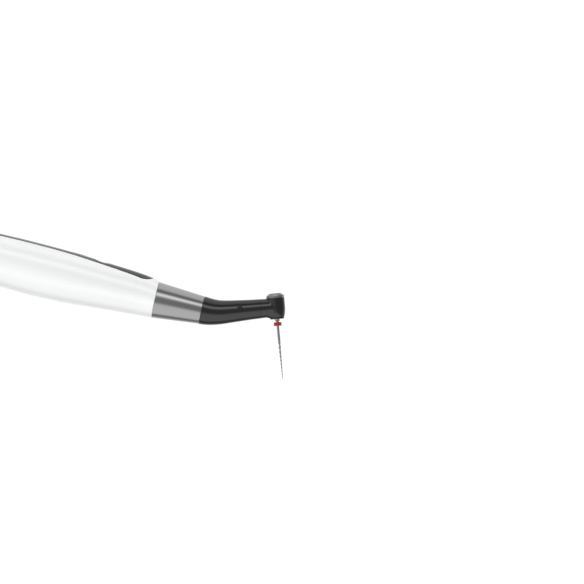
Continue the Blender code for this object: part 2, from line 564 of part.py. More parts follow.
outer = [outer_ring(u, ro, drop) for u, ro, ri, drop in neck_wall]
inner = [tilted_ring(*neck_station(u), ri, NN) for u, ro, ri, drop in neck_wall]
spigot_out = [[(x, 5.3 / 4.8 * y, 5.3 / 4.8 * z) for x, y, z in tilted_ring(Vector((BODY_LEN + COLLAR_LEN - 0.3 - d, 0, 0)), 0, 4.8, NN)] for d in (0.0, 1.9)]
spigot_in = tilted_ring(Vector((BODY_LEN + COLLAR_LEN - 2.2, 0, 0)), 0, 4.8, NN)
lip = [(x, y * 5.3 / 6.1, z * 5.3 / 6.1) for x, y, z in outer[0]]
neck = loft("neck_housing", [spigot_in, spigot_out[1], lip] + outer + inner[::-1], "black", loop=True)
# a set screw in the right-hand side of the neck, in a small round recess
SCREW_Q, SCREW_H = 11.8, 1.0
fuse(neck, cylinder("neck_screw_hole", 1.05, 3.2, 8.0, parent=NECK, loc=(SCREW_Q, 0, SCREW_H), n=16, cutter=True, rot=(math.pi / 2, 0, 0)), operation="DIFFERENCE")
turned("neck_set_screw", [(0, 3.95), (0.45, 3.95), (0.45, 4.2), (0.85, 4.2), (0.95, 4.1), (0.95, 3.35), (0, 3.35)], "dark", 16, parent=NECK,
       loc=(SCREW_Q, 0, SCREW_H), solid=True).rotation_euler = (math.pi / 2, 0, 0)
ring("middle_bearing", 1.28, 3.0, 2.3, 3.6, "brass", parent=NECK_AX, steps=18)
ring("front_shaft_bearing", 1.28, 3.0, 16.9, 18.3, "brass", parent=NECK_AX, steps=18)

# ---------------------------------------------------------------- front drive shaft with its bevel pinion
WHEEL_T, PINION_T = 15, 10
WHEEL_R = 2.55                       # pitch radius at the outer end
PINION_R = WHEEL_R * PINION_T / WHEEL_T
DELTA_P = math.atan2(PINION_R, WHEEL_R)
FACE_IN = 1.86                       # wheel pitch radius at the inner end of the teeth
ADD, DED = 0.20, 0.28
pin_t = toothed(PINION_T, 1, 2, 10.5, 4.2, 18)


def pinion_ring(dist):
    """Toothed outline at a distance from the head axis; radii scale with it."""
    k = dist / WHEEL_R
    root, tip = (PINION_R - DED) * k, (PINION_R + ADD) * k
    return [((root if r == 1 else tip) * math.cos(a), (root if r == 1 else tip) * math.sin(a), HEAD_Q - dist) for a, r in pin_t]


loft("front_drive_shaft", [circle_like(pin_t, 1.1, 1.0), circle_like(pin_t, 1.2, 1.1), circle_like(pin_t, 1.2, 24.2), circle_like(pin_t, 1.35, 24.35),
                           pinion_ring(WHEEL_R + 0.08), pinion_ring(FACE_IN)], "steel", NECK_AX)

# ---------------------------------------------------------------- head
head = turned("head_housing", [(2.95, 3.9), (3.85, 3.9), (HEAD_R, 3.75), (HEAD_R + 0.02, 0.0), (HEAD_R, -1.6), (3.8, -2.9), (3.5, -3.9), (3.15, -4.5), (3.05, -4.6), (2.7, -4.6), (2.7, -2.95),
                              (2.95, -2.95)], "black", 26, parent=HEAD)
bake(head)
stub = loft("stub", [tilted_ring(Vector((q, 0, -NECK_DROP)), 0, r, 24) for q, r in ((NECK_END_Q + 0.15, 4.11), (NECK_END_Q + 0.25, 4.18), (HEAD_Q - 3.4, 4.06), (HEAD_Q - 1.2, 3.95))],
            None, NECK, cutter=True)
fuse(head, stub)
plug = cylinder("plug", 3.0, 18.6, NECK_END_Q + 0.6, parent=NECK_AX, n=24, cutter=True)
fuse(head, plug)
fuse(head, cylinder("head_bore", 2.95, -2.95, 6, parent=HEAD, n=26, cutter=True), operation="DIFFERENCE")
fuse(head, cylinder("lower_bore", 2.7, -6, -2.5, parent=HEAD, n=26, cutter=True), operation="DIFFERENCE")
fuse(head, cylinder("shaft_bore", 2.2, 15, HEAD_Q - 1.5, parent=NECK_AX, n=20, cutter=True), operation="DIFFERENCE")

turned("chuck_guard_ring", [(1.8, -4.7), (2.6, -4.7), (2.6, -4.75), (3.2, -4.75), (3.2, -5.02), (2.95, -5.28), (1.95, -5.28), (1.8, -5.15)], "black", 20, parent=HEAD)
ring("head_lower_bearing", 1.68, 2.6, -4.5, -3.1, "steel", parent=HEAD, steps=18)
ring("head_upper_bearing", 1.68, 2.85, 2.15, 3.05, "steel", parent=HEAD, steps=18)

spindle = turned("chuck_spindle", [(1.23, 3.42), (2.2, 3.42), (2.3, 3.35), (2.3, 3.15), (1.6, 3.1), (1.6, -4.95), (1.45, -5.1), (1.3, -5.1), (1.23, -4.9)], "steel", 20, parent=HEAD)
bake(spindle)
fuse(spindle, box("drive_flat", (0.86, -0.68, 1.9), (1.42, 0.68, 3.3), parent=HEAD, cutter=True))

# bevel wheel on the spindle, teeth up, meshing with the pinion on the neck side
DELTA_W = math.pi / 2 - DELTA_P
wheel_pts = []
for i in range(WHEEL_T):
    c = 12 + 360 / WHEEL_T * i
    wheel_pts += [(c - 6.6, -1), (c - 2.9, 1), (c + 2.9, 1), (c + 6.6, -1)]


def wheel_ring(r_pitch, lift_tip, lift_root):
    """Points on the pitch cone at that radius, raised by the tooth height along the cone's normal."""
    k = r_pitch / WHEEL_R
    out = []
    for a, s in wheel_pts:
        lift = (lift_tip if s > 0 else -lift_root) * k
        r = r_pitch + lift * math.cos(DELTA_W)
        z = -r_pitch / math.tan(DELTA_W) + lift * math.sin(DELTA_W)
        out.append((r * math.cos(math.radians(a)), r * math.sin(math.radians(a)), z))
    return out


def wheel_circle(r, z):
    return [(r * math.cos(math.radians(a)), r * math.sin(math.radians(a)), z) for a, _ in wheel_pts]


loft("spindle_gear", [wheel_circle(2.5, -2.75), wheel_ring(WHEEL_R, ADD, DED), wheel_ring(FACE_IN, ADD, DED), wheel_circle(1.66, -1.75), wheel_circle(1.66, -2.75)],
     "steel", HEAD, loop=True)

# latch blade: a thin half-moon beside the shank groove, on the spindle's flange
blade_r, blade_x = 1.95, -0.93
a0 = math.acos(-blade_x / blade_r)
latch_pts = [(-blade_r * math.cos(t), blade_r * math.sin(t)) for t in (a0 - 2 * a0 * i / 14 for i in range(15))]
outline("latch_blade", latch_pts, 3.52, 3.82, "steel", HEAD)

# grey cap: a screwed ring and, inside it, the push button that frees the file
turned("head_cap_ring", [(2.35, 3.3), (2.88, 3.3), (2.88, 4.0), (3.9, 4.0), (4.0, 4.1), (4.0, 4.6), (3.92, 4.88), (3.68, 5.15), (3.36, 5.32), (3.22, 5.28), (3.22, 4.9),
                        (3.5, 4.88), (3.5, 4.2), (2.35, 4.2)], "cap", 26, parent=HEAD)
turned("push_button", [(0, 6.0), (1.6, 5.98), (2.5, 5.88), (2.95, 5.62), (3.12, 5.3), (3.12, 4.86), (3.4, 4.84), (3.4, 4.84 - 0.02), (3.4, 4.81), (2.8, 4.81), (2.8, 5.35), (1.9, 5.35),
                       (1.9, 4.48), (1.5, 4.48), (1.5, 5.35), (0, 5.35)], "cap", 24, parent=HEAD, solid=True)


def coil(name, r, z0, z1, turns, wire_r, mat, parent):
    c = bpy.data.curves.new(name, "CURVE")
    c.dimensions, c.bevel_depth, c.bevel_resolution, c.use_fill_caps = "3D", wire_r * MM, 1, True
    n = int(turns * 12)
    s = c.splines.new("POLY")
    s.points.add(n)
    for i in range(n + 1):
        a = 2 * math.pi * turns * i / n
        s.points[i].co = (r * math.cos(a) * MM, r * math.sin(a) * MM, (z0 + (z1 - z0) * i / n) * MM, 1)
    return add(bpy.data.objects.new(name, c), mat, parent)


coil("button_spring", 2.5, 4.33, 5.22, 2.5, 0.1, "steel", HEAD)

# ---------------------------------------------------------------- file
SHANK_END = -6.25
shank = turned("file_shank", [(0, 4.25), (1.0, 4.25), (1.175, 4.05), (1.175, 3.95), (0.88, 3.9), (0.88, 3.5), (1.175, 3.45), (1.175, -5.85), (0.75, SHANK_END),
                              (0.64, SHANK_END), (0.64, -3.6), (0, -3.6)], "steel", 18, parent=HEAD, solid=True)
bake(shank)
fuse(shank, box("shank_flat", (0.78, -2, 1.8), (2, 2, 5), parent=HEAD, cutter=True), operation="DIFFERENCE")

TIP = SHANK_END - FILE_LEN
FLUTE = SHANK_END - 9.0
stations = [(-3.8, 0.55, 0.0, 0.0), (-3.9, 0.58, 0.0, 0.0), (FLUTE + 0.7, 0.58, 0.0, 0.0)]
n_st = 32
for i in range(n_st + 1):
    t = i / n_st
    z = FLUTE + (TIP + 0.35 - FLUTE) * t
    r = 0.58 + (0.16 - 0.58) * t
    depth = min(1.0, t * 9) * 0.20
    stations.append((z, r, depth, 2 * math.pi * (7.5 * t + 2.0 * t * t) / 1.0))
stations.append((TIP, 0.03, 0.0, stations[-1][3]))
NF = 8
rings = []
for z, r, depth, tw in stations:
    rings.append([(r * (1 - depth + depth * math.cos(2 * (a - tw * 0.5))) * math.cos(a), r * (1 - depth + depth * math.cos(2 * (a - tw * 0.5))) * math.sin(a), z)
                  for a in (2 * math.pi * k / NF for k in range(NF))])
loft("file_blade", rings, "niti", HEAD)
turned("silicone_stop", [(0.68, -6.75), (0.8, -6.65), (1.6, -6.65), (1.7, -6.78), (1.7, -8.1), (1.6, -8.25), (0.8, -8.25), (0.68, -8.15)], "red", 18, parent=HEAD)

bpy.context.view_layer.update()
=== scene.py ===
"""Looks of the endodontic motor handpiece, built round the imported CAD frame. Lengths are millimetres until they reach a mesh."""
import math

import bmesh
import bpy
import numpy as np
from mathutils import Matrix, Vector
from mathutils.geometry import delaunay_2d_cdt


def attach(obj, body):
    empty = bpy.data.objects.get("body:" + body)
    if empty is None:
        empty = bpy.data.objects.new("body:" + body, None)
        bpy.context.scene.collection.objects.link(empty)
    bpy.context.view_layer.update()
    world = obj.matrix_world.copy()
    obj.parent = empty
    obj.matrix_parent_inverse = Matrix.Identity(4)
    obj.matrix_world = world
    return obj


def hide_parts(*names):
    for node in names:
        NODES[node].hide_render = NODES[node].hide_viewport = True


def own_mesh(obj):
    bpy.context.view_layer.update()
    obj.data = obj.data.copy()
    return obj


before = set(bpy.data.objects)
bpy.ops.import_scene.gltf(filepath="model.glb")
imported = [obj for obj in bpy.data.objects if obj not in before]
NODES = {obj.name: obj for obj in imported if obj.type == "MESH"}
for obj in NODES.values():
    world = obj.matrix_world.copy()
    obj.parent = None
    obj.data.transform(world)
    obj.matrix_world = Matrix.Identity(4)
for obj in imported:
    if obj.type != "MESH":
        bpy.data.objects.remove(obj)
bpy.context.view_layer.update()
MM = 0.001

# ------------------------------------------------------------------ frame facts, in mm
SLOPE = math.radians(17.7)
C, S = math.cos(SLOPE), math.sin(SLOPE)
BEND = np.array([143.6, 0.0, 0.0])
F_AX = np.array([C, 0.0, S])            # along the neck
H_AX = np.array([-S, 0.0, C])           # up the head
Y_AX = np.array([0.0, 1.0, 0.0])
HEAD = BEND + 27.3 * F_AX
BEND_R = 32.0
COLLAR_FRONT = 138.6

SECTIONS = np.array([
    (0.0, 5.2, 9.6, -1.4, 2.3), (0.7, 6.7, 11.0, -2.7, 2.3), (2.4, 7.9, 12.1, -3.7, 2.25), (6.0, 9.0, 12.9, -4.6, 2.2),
    (12.0, 9.9, 13.35, -5.5, 2.2), (20.0, 10.7, 13.6, -6.4, 2.2), (30.0, 11.4, 13.75, -7.6, 2.2), (42.0, 11.95, 13.75, -8.7, 2.2),
    (54.5, 12.2, 13.6, -9.55, 2.2), (67.5, 12.1, 13.2, -10.1, 2.2), (75.0, 11.8, 12.85, -10.1, 2.18), (83.0, 11.3, 12.35, -9.85, 2.15),
    (91.0, 10.6, 11.65, -9.4, 2.12), (99.0, 9.75, 11.0, -8.95, 2.08), (106.0, 9.0, 10.4, -8.55, 2.04), (112.0, 8.45, 9.7, -8.3, 2.0),
    (116.0, 8.2, 8.9, -8.15, 2.0), (118.03, 8.09, 8.36, -8.09, 2.0)])


# ------------------------------------------------------------------ small maths
def pchip(x, y, start_slope=None):
    """Monotone cubic through the points; returns a function."""
    x, y = np.asarray(x, float), np.asarray(y, float)
    h, d = np.diff(x), np.diff(y) / np.diff(x)
    m = np.zeros_like(y)
    for i in range(1, len(x) - 1):
        if d[i - 1] * d[i] > 0:
            w1, w2 = 2 * h[i] + h[i - 1], h[i] + 2 * h[i - 1]
            m[i] = (w1 + w2) / (w1 / d[i - 1] + w2 / d[i])
    m[0] = d[0] if start_slope is None else start_slope
    m[-1] = d[-1]

    def at(q):
        q = np.clip(np.asarray(q, float), x[0], x[-1])
        i = np.clip(np.searchsorted(x, q) - 1, 0, len(x) - 2)
        t = (q - x[i]) / h[i]
        return ((1 + 2 * t) * (1 - t) ** 2 * y[i] + t * (1 - t) ** 2 * h[i] * m[i] + t * t * (3 - 2 * t) * y[i + 1] + t * t * (t - 1) * h[i] * m[i + 1])
    return at


def unit(v):
    return v / np.maximum(np.linalg.norm(v, axis=-1, keepdims=True), 1e-12)


_chord = np.concatenate([[0], np.cumsum(np.linalg.norm(np.diff(SECTIONS[:, :4], axis=0), axis=1))])
_fx = pchip(_chord, SECTIONS[:, 0], 0.0)
_fh, _ft, _fb, _fe = (pchip(_chord, SECTIONS[:, k]) for k in (1, 2, 3, 4))
_tt = np.linspace(0, _chord[-1], 6000)
_tx = _fx(_tt)


def t_of_x(x):
    return np.interp(x, _tx, _tt)


def grip_point(t, th):
    """Point on the grip's surface: t along the profile, th round it."""
    hw, top, bot, e = _fh(t), _ft(t), _fb(t), _fe(t)
    zc, h = (top + bot) / 2, (top - bot) / 2
    c, s = np.cos(th), np.sin(th)
    r = ((np.abs(c) / hw) ** e + (np.abs(s) / h) ** e) ** (-1 / e)
    return np.stack([_fx(t), r * c, zc + r * s], -1)


def grip_top(x, y):
    """Height of the grip's top surface over a point."""
    t = t_of_x(x)
    hw, top, bot, e = _fh(t), _ft(t), _fb(t), _fe(t)
    zc, h = (top + bot) / 2, (top - bot) / 2
    return zc + h * np.maximum(1 - (np.abs(y) / hw) ** e, 0) ** (1 / e)


# ------------------------------------------------------------------ meshes
def build(name, verts, faces, mat, body, replaces=(), normals=None, sharp=None, material_index=None):
    mesh = bpy.data.meshes.new(name)
    mesh.from_pydata((np.asarray(verts, float) * MM).tolist(), [], [list(map(int, f)) for f in faces])
    mesh.validate()
    mesh.update()
    obj = bpy.data.objects.new(name, mesh)
    bpy.context.scene.collection.objects.link(obj)
    for m in (mat if isinstance(mat, (list, tuple)) else [mat]):
        mesh.materials.append(m)
    mesh.shade_smooth()
    if material_index is not None and len(mesh.polygons) == len(material_index):
        mesh.polygons.foreach_set("material_index", np.asarray(material_index, np.int32))
    if sharp is not None:
        mesh.set_sharp_from_angle(angle=math.radians(sharp))
    if normals is not None and len(normals) == len(mesh.vertices):
        mesh.normals_split_custom_set_from_vertices([tuple(n) for n in normals])
    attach(obj, body)
    if replaces:
        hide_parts(*([replaces] if isinstance(replaces, str) else replaces))
    return obj


def place(points, origin, ax, ay, az):
    p = np.asarray(points, float)
    return origin + p[:, :1] * ax + p[:, 1:2] * ay + p[:, 2:3] * az


DRIVE = (np.zeros(3), -np.array([0, 0, 1.0]), Y_AX, np.array([1.0, 0, 0]))       # local Z is the drive axis
NECKZ = (BEND, -H_AX, Y_AX, F_AX)                                                 # local Z along the neck
HEADZ = (HEAD, F_AX, Y_AX, H_AX)                                                  # local Z up the head


def round_profile(profile, radius, n=4, closed=True):
    """Softens the corners of an (r, z) outline. A radius of a corner can be given as a third number."""
    pts = [np.array(p[:2], float) for p in profile]
    out = []
    m = len(pts)
    for i, p in enumerate(pts):
        rad = profile[i][2] if len(profile[i]) > 2 else radius
        if (not closed and i in (0, m - 1)) or rad <= 0:
            out.append(p)
            continue
        a, b = pts[i - 1] - p, pts[(i + 1) % m] - p
        la, lb = np.linalg.norm(a), np.linalg.norm(b)
        if la < 1e-9 or lb < 1e-9:
            out.append(p)
            continue
        a, b = a / la, b / lb
        cosang = float(np.clip(a @ b, -1, 1))
        if cosang < -0.995:
            out.append(p)
            continue
        half = math.acos(cosang) / 2
        cut = min(rad / math.tan(half), la * 0.45, lb * 0.45)
        r = cut * math.tan(half)
        c = p + unit(a + b) * (r / math.sin(half))
        p0, p1 = p + a * cut - c, p + b * cut - c
        for k in range(n + 1):
            v = p0 + (p1 - p0) * k / n
            out.append(c + unit(v) * np.linalg.norm(p0))
    return out


def turned(name, profile, mat, body, axes, n=96, replaces=(), radius=0.06, closed=True, sharp=40, loc=(0, 0, 0), wobble=None, rn=4):
    """Revolves a rounded (r, z) outline. Open outlines start and end on the axis."""
    prof = round_profile(profile, radius, rn, closed)
    m = len(prof)
    verts, faces, rows = [], [], []
    for r, z in prof:
        if r < 1e-6:
            rows.append([len(verts)] * n)
            verts.append((0, 0, z))
        else:
            rows.append(list(range(len(verts), len(verts) + n)))
            verts += [(r * math.cos(2 * math.pi * i / n), r * math.sin(2 * math.pi * i / n), z) for i in range(n)]
    pairs = list(zip(range(m), list(range(1, m)) + ([0] if closed else [])))
    for a, b in pairs:
        for i in range(n):
            j = (i + 1) % n
            f = [rows[a][i], rows[a][j], rows[b][j], rows[b][i]]
            f = [v for k, v in enumerate(f) if v != f[k - 1]]
            if len(f) > 2:
                faces.append(f)
    V = np.array(verts, float) + np.array(loc, float)
    if wobble is not None:
        V = wobble(V)
    V = place(V, *axes)
    faces = outward(V, faces)
    return build(name, V, faces, mat, body, replaces, sharp=sharp)


def outward(V, faces):
    """Flips all faces if the closed mesh is inside out."""
    vol = 0.0
    for f in faces:
        a = V[f[0]]
        for k in range(1, len(f) - 1):
            vol += float(np.dot(a, np.cross(V[f[k]], V[f[k + 1]])))
    return faces if vol > 0 else [f[::-1] for f in faces]


def rings_mesh(name, rings, mat, body, replaces=(), loop=False, sharp=40, axes=None, normals=False):
    """Skins rings of equal count, closed at the ends unless they loop."""
    R = [np.asarray(r, float) for r in rings]
    n = len(R[0])
    V = np.concatenate(R)
    if axes is not None:
        V = place(V, *axes)
    idx = np.arange(len(V)).reshape(len(R), n)
    faces = []
    for a, b in list(zip(range(len(R)), list(range(1, len(R))) + ([0] if loop else []))):
        for i in range(n):
            j = (i + 1) % n
            faces.append([idx[a, i], idx[a, j], idx[b, j], idx[b, i]])
    if not loop:
        faces.append(list(idx[0])[::-1])
        faces.append(list(idx[-1]))
    faces = outward(V, faces)
    return build(name, V, faces, mat, body, replaces, sharp=sharp)


def poly_inside(poly, pts):
    x, y = pts[:, 0], pts[:, 1]
    res = np.zeros(len(pts), bool)
    px, py = poly[:, 0], poly[:, 1]
    qx, qy = np.roll(px, -1), np.roll(py, -1)
    for a, b, c, d in zip(px, py, qx, qy):
        if b == d:
            continue
        hit = ((b > y) != (d > y)) & (x < (c - a) * (y - b) / (d - b) + a)
        res ^= hit
    return res


def poly_dist(poly, pts):
    a, b = poly, np.roll(poly, -1, 0)
    best = np.full(len(pts), 1e9)
    for p, q in zip(a, b):
        d = q - p
        t = np.clip(((pts - p) @ d) / max(d @ d, 1e-12), 0, 1)
        best = np.minimum(best, np.linalg.norm(pts - (p + t[:, None] * d), axis=1))
    return best


def offset_loop(poly, dist):
    """Moves a closed loop outwards (anticlockwise loops grow with a positive distance)."""
    p, q = np.roll(poly, 1, 0), np.roll(poly, -1, 0)
    t = unit(unit(poly - p) + unit(q - poly))
    nrm = np.stack([t[:, 1], -t[:, 0]], -1)
    area = 0.5 * np.sum(poly[:, 0] * q[:, 1] - q[:, 0] * poly[:, 1])
    return poly + nrm * dist * (1 if area > 0 else -1)


EDGE = [(0.0, 0.12), (0.03, 0.045), (0.075, 0.012), (0.14, 0.0)]     # distance from an edge, and how far the rounding drops there


def sheet_solid(name, grid, surface, thickness, mat, body, replaces=(), outline=None, holes=(), ends=(), seam=None, edge=EDGE, clear=0.3, flip=1,
                drop_all=0.0, hole_depth=None):
    """A plate that follows a surface: surface(a, b) gives points for a flat (a, b) domain in about mm. outline and holes are loops in that domain, whose
    edges are rounded. seam is the b span that closes on itself."""
    loops, pts, drops = [], [], []

    def put(loop, drop):
        start = len(pts)
        pts.extend(loop.tolist())
        drops.extend([drop] * len(loop))
        loops.append(list(range(start, start + len(loop))))

    if outline is not None:
        for d, dr in edge:
            put(offset_loop(outline, -d), dr)
    for hole in holes:
        for d, dr in edge:
            put(offset_loop(hole, d), dr)
    keep = np.ones(len(grid), bool)
    far = edge[-1][0]
    if outline is not None:
        keep &= poly_inside(outline, grid) & (poly_dist(outline, grid) > far + clear)
    for hole in holes:
        keep &= ~poly_inside(hole, grid) & (poly_dist(hole, grid) > far + clear)
    g = grid[keep]
    gd = np.zeros(len(g))
    for a_end in ends:                     # rounded open ends of a tube
        for d, dr in edge:
            gd = np.where(np.abs(np.abs(g[:, 0] - a_end) - d) < 1e-6, dr, gd)
    pts += g.tolist()
    drops += gd.tolist()
    P2 = np.array(pts)
    D = np.array(drops)
    cons = [(l[i], l[(i + 1) % len(l)]) for l in loops for i in range(len(l))]
    vs, _, fs, ov, _, _ = delaunay_2d_cdt([Vector(p) for p in pts], cons, [], 0, 1e-8)
    back = [o[0] if o else -1 for o in ov]
    if min(back) < 0:
        extra = [i for i, b in enumerate(back) if b < 0]
        for i in extra:
            back[i] = len(P2)
            P2 = np.vstack([P2, [vs[i].x, vs[i].y]])
            D = np.append(D, 0.0)
    tris = np.array([[back[v] for v in f] for f in fs if len(f) == 3])
    cen = P2[tris].mean(1)
    ok = np.ones(len(tris), bool)
    if outline is not None:
        ok &= poly_inside(outline, cen)
    for hole in holes:
        ok &= ~poly_inside(hole, cen)
    area = np.abs(np.cross(P2[tris[:, 1]] - P2[tris[:, 0]], P2[tris[:, 2]] - P2[tris[:, 0]]))
    ok &= area > 1e-9
    tris = tris[ok]
    if seam is not None:                   # weld the last column to the first
        b0, b1 = seam
        first = {round(float(P2[i, 0]), 6): i for i in np.where(np.abs(P2[:, 1] - b0) < 1e-7)[0]}
        remap = np.arange(len(P2))
        for i in np.where(np.abs(P2[:, 1] - b1) < 1e-7)[0]:
            remap[i] = first[round(float(P2[i, 0]), 6)]
        tris = remap[tris]
    used = np.unique(tris)
    new = np.full(len(P2), -1)
    new[used] = np.arange(len(used))
    tris = new[tris]
    P2, D = P2[used], D[used]
    eps = 0.02
    pos = surface(P2[:, 0], P2[:, 1])
    da = surface(P2[:, 0] + eps, P2[:, 1]) - surface(P2[:, 0] - eps, P2[:, 1])
    db = surface(P2[:, 0], P2[:, 1] + eps) - surface(P2[:, 0], P2[:, 1] - eps)
    N = unit(np.cross(da, db)) * flip
    top = pos - N * (D + drop_all)[:, None]
    low = pos - N * (thickness + drop_all)
    n = len(P2)
    faces = [list(t) for t in tris] + [[t[2] + n, t[1] + n, t[0] + n] for t in tris]
    e1 = np.concatenate([tris[:, [0, 1]], tris[:, [1, 2]], tris[:, [2, 0]]])
    seen = {}
    for a, b in e1:
        seen[(a, b)] = seen.get((a, b), 0) + 1
    for (a, b), k in seen.items():
        if (b, a) not in seen:
            faces.append([b, a, a + n, b + n])
    V = np.concatenate([top, low])
    faces2 = outward(V, faces)
    nrm = np.zeros((2 * n, 3))
    flat = D < 1e-6
    nrm[:n][flat] = N[flat]
    return build(name, V, faces2, mat, body, replaces, normals=nrm, sharp=48)


# ------------------------------------------------------------------ materials
def nodes_of(name):
    m = bpy.data.materials.new(name)
    m.use_nodes = True
    nt = m.node_tree
    return m, nt, nt.nodes["Principled BSDF"]


def finish_material(name, base, rough, metal=0.0, var=0.06, rough_var=0.06, scale=600.0, fine=6000.0, bump=0.04, bump_dist=0.00002, coat=0.0, coat_rough=0.08,
                    stretch=(1, 1, 1), ior=1.5, lines=None, wear=None, spec=0.5, transmission=0.0, emission=None, subsurface=0.0, sheen=0.0, rot=(0, 0, 0), speck=None):
    """A Principled surface whose colour and gloss vary a little, with a fine moulded, turned or drawn texture."""
    m, nt, b = nodes_of(name)
    N, L = nt.nodes, nt.links
    tc = N.new("ShaderNodeTexCoord")
    mp = N.new("ShaderNodeMapping")
    mp.inputs["Scale"].default_value = stretch
    mp.inputs["Rotation"].default_value = rot
    L.new(tc.outputs["Object"], mp.inputs["Vector"])
    broad = N.new("ShaderNodeTexNoise")
    broad.inputs["Scale"].default_value, broad.inputs["Detail"].default_value, broad.inputs["Roughness"].default_value = scale, 3.0, 0.55
    L.new(mp.outputs["Vector"], broad.inputs["Vector"])
    tiny = N.new("ShaderNodeTexNoise")
    tiny.inputs["Scale"].default_value, tiny.inputs["Detail"].default_value = fine, 2.0
    L.new(mp.outputs["Vector"], tiny.inputs["Vector"])
    mix = N.new("ShaderNodeMix")
    mix.data_type = "RGBA"
    lo = [max(0.0, c * (1 - var)) for c in base]
    hi = [min(1.0, c * (1 + var)) for c in base]
    mix.inputs["A"].default_value, mix.inputs["B"].default_value = (*lo, 1), (*hi, 1)
    L.new(broad.outputs["Fac"], mix.inputs["Factor"])
    colour = mix.outputs["Result"]
    if speck:
        vor = N.new("ShaderNodeTexVoronoi")
        vor.inputs["Scale"].default_value = speck[1]
        L.new(tc.outputs["Object"], vor.inputs["Vector"])
        less = N.new("ShaderNodeMath")
        less.operation = "LESS_THAN"
        less.inputs[1].default_value = speck[2]
        L.new(vor.outputs["Distance"], less.inputs[0])
        sm = N.new("ShaderNodeMix")
        sm.data_type = "RGBA"
        sm.inputs["B"].default_value = (*speck[0], 1)
        L.new(less.outputs[0], sm.inputs["Factor"])
        L.new(colour, sm.inputs["A"])
        colour = sm.outputs["Result"]
    rr = N.new("ShaderNodeMapRange")
    rr.inputs["To Min"].default_value, rr.inputs["To Max"].default_value = max(0.02, rough - rough_var), rough + rough_var
    L.new(broad.outputs["Fac"], rr.inputs["Value"])
    roughness = rr.outputs["Result"]
    if wear:
        geo = N.new("ShaderNodeNewGeometry")
        ramp = N.new("ShaderNodeMapRange")
        ramp.inputs["From Min"].default_value, ramp.inputs["From Max"].default_value = wear[1], wear[1] + 0.06
        L.new(geo.outputs["Pointiness"], ramp.inputs["Value"])
        mul = N.new("ShaderNodeMath")
        mul.operation = "MULTIPLY"
        L.new(ramp.outputs["Result"], mul.inputs[0])
        L.new(broad.outputs["Fac"], mul.inputs[1])
        wm = N.new("ShaderNodeMix")
        wm.data_type = "RGBA"
        wm.inputs["B"].default_value = (*wear[0], 1)
        L.new(mul.outputs[0], wm.inputs["Factor"])
        L.new(colour, wm.inputs["A"])
        colour = wm.outputs["Result"]
    L.new(colour, b.inputs["Base Color"])
    L.new(roughness, b.inputs["Roughness"])
    b.inputs["Metallic"].default_value = metal
    b.inputs["IOR"].default_value = ior
    b.inputs["Specular IOR Level"].default_value = spec
    if coat:
        b.inputs["Coat Weight"].default_value, b.inputs["Coat Roughness"].default_value = coat, coat_rough
    if transmission:
        b.inputs["Transmission Weight"].default_value = transmission
    if subsurface:
        b.inputs["Subsurface Weight"].default_value = subsurface
        b.inputs["Subsurface Radius"].default_value = (1.0, 0.7, 0.6)
        b.inputs["Subsurface Scale"].default_value = 0.0006
    if sheen:
        b.inputs["Sheen Weight"].default_value = sheen
    if emission:
        b.inputs["Emission Color"].default_value = (*emission[0], 1)
        b.inputs["Emission Strength"].default_value = emission[1]
    height = tiny.outputs["Fac"]
    if lines:                                   # turning or drawing marks: direction and pitch
        wave = N.new("ShaderNodeTexWave")
        wave.wave_type = "BANDS"
        wave.bands_direction = lines[0]
        wave.inputs["Scale"].default_value = lines[1]
        wave.inputs["Distortion"].default_value = 1.2
        wave.inputs["Detail"].default_value = 2.0
        L.new(tc.outputs["Object"], wave.inputs["Vector"])
        hm = N.new("ShaderNodeMix")
        hm.inputs["Factor"].default_value = lines[2]
        L.new(tiny.outputs["Fac"], hm.inputs["A"])
        L.new(wave.outputs["Fac"], hm.inputs["B"])
        height = hm.outputs["Result"]
    bp = N.new("ShaderNodeBump")
    bp.inputs["Strength"].default_value = bump
    bp.inputs["Distance"].default_value = bump_dist
    L.new(height, bp.inputs["Height"])
    L.new(bp.outputs["Normal"], b.inputs["Normal"])
    if coat:
        L.new(bp.outputs["Normal"], b.inputs["Coat Normal"])
    return m


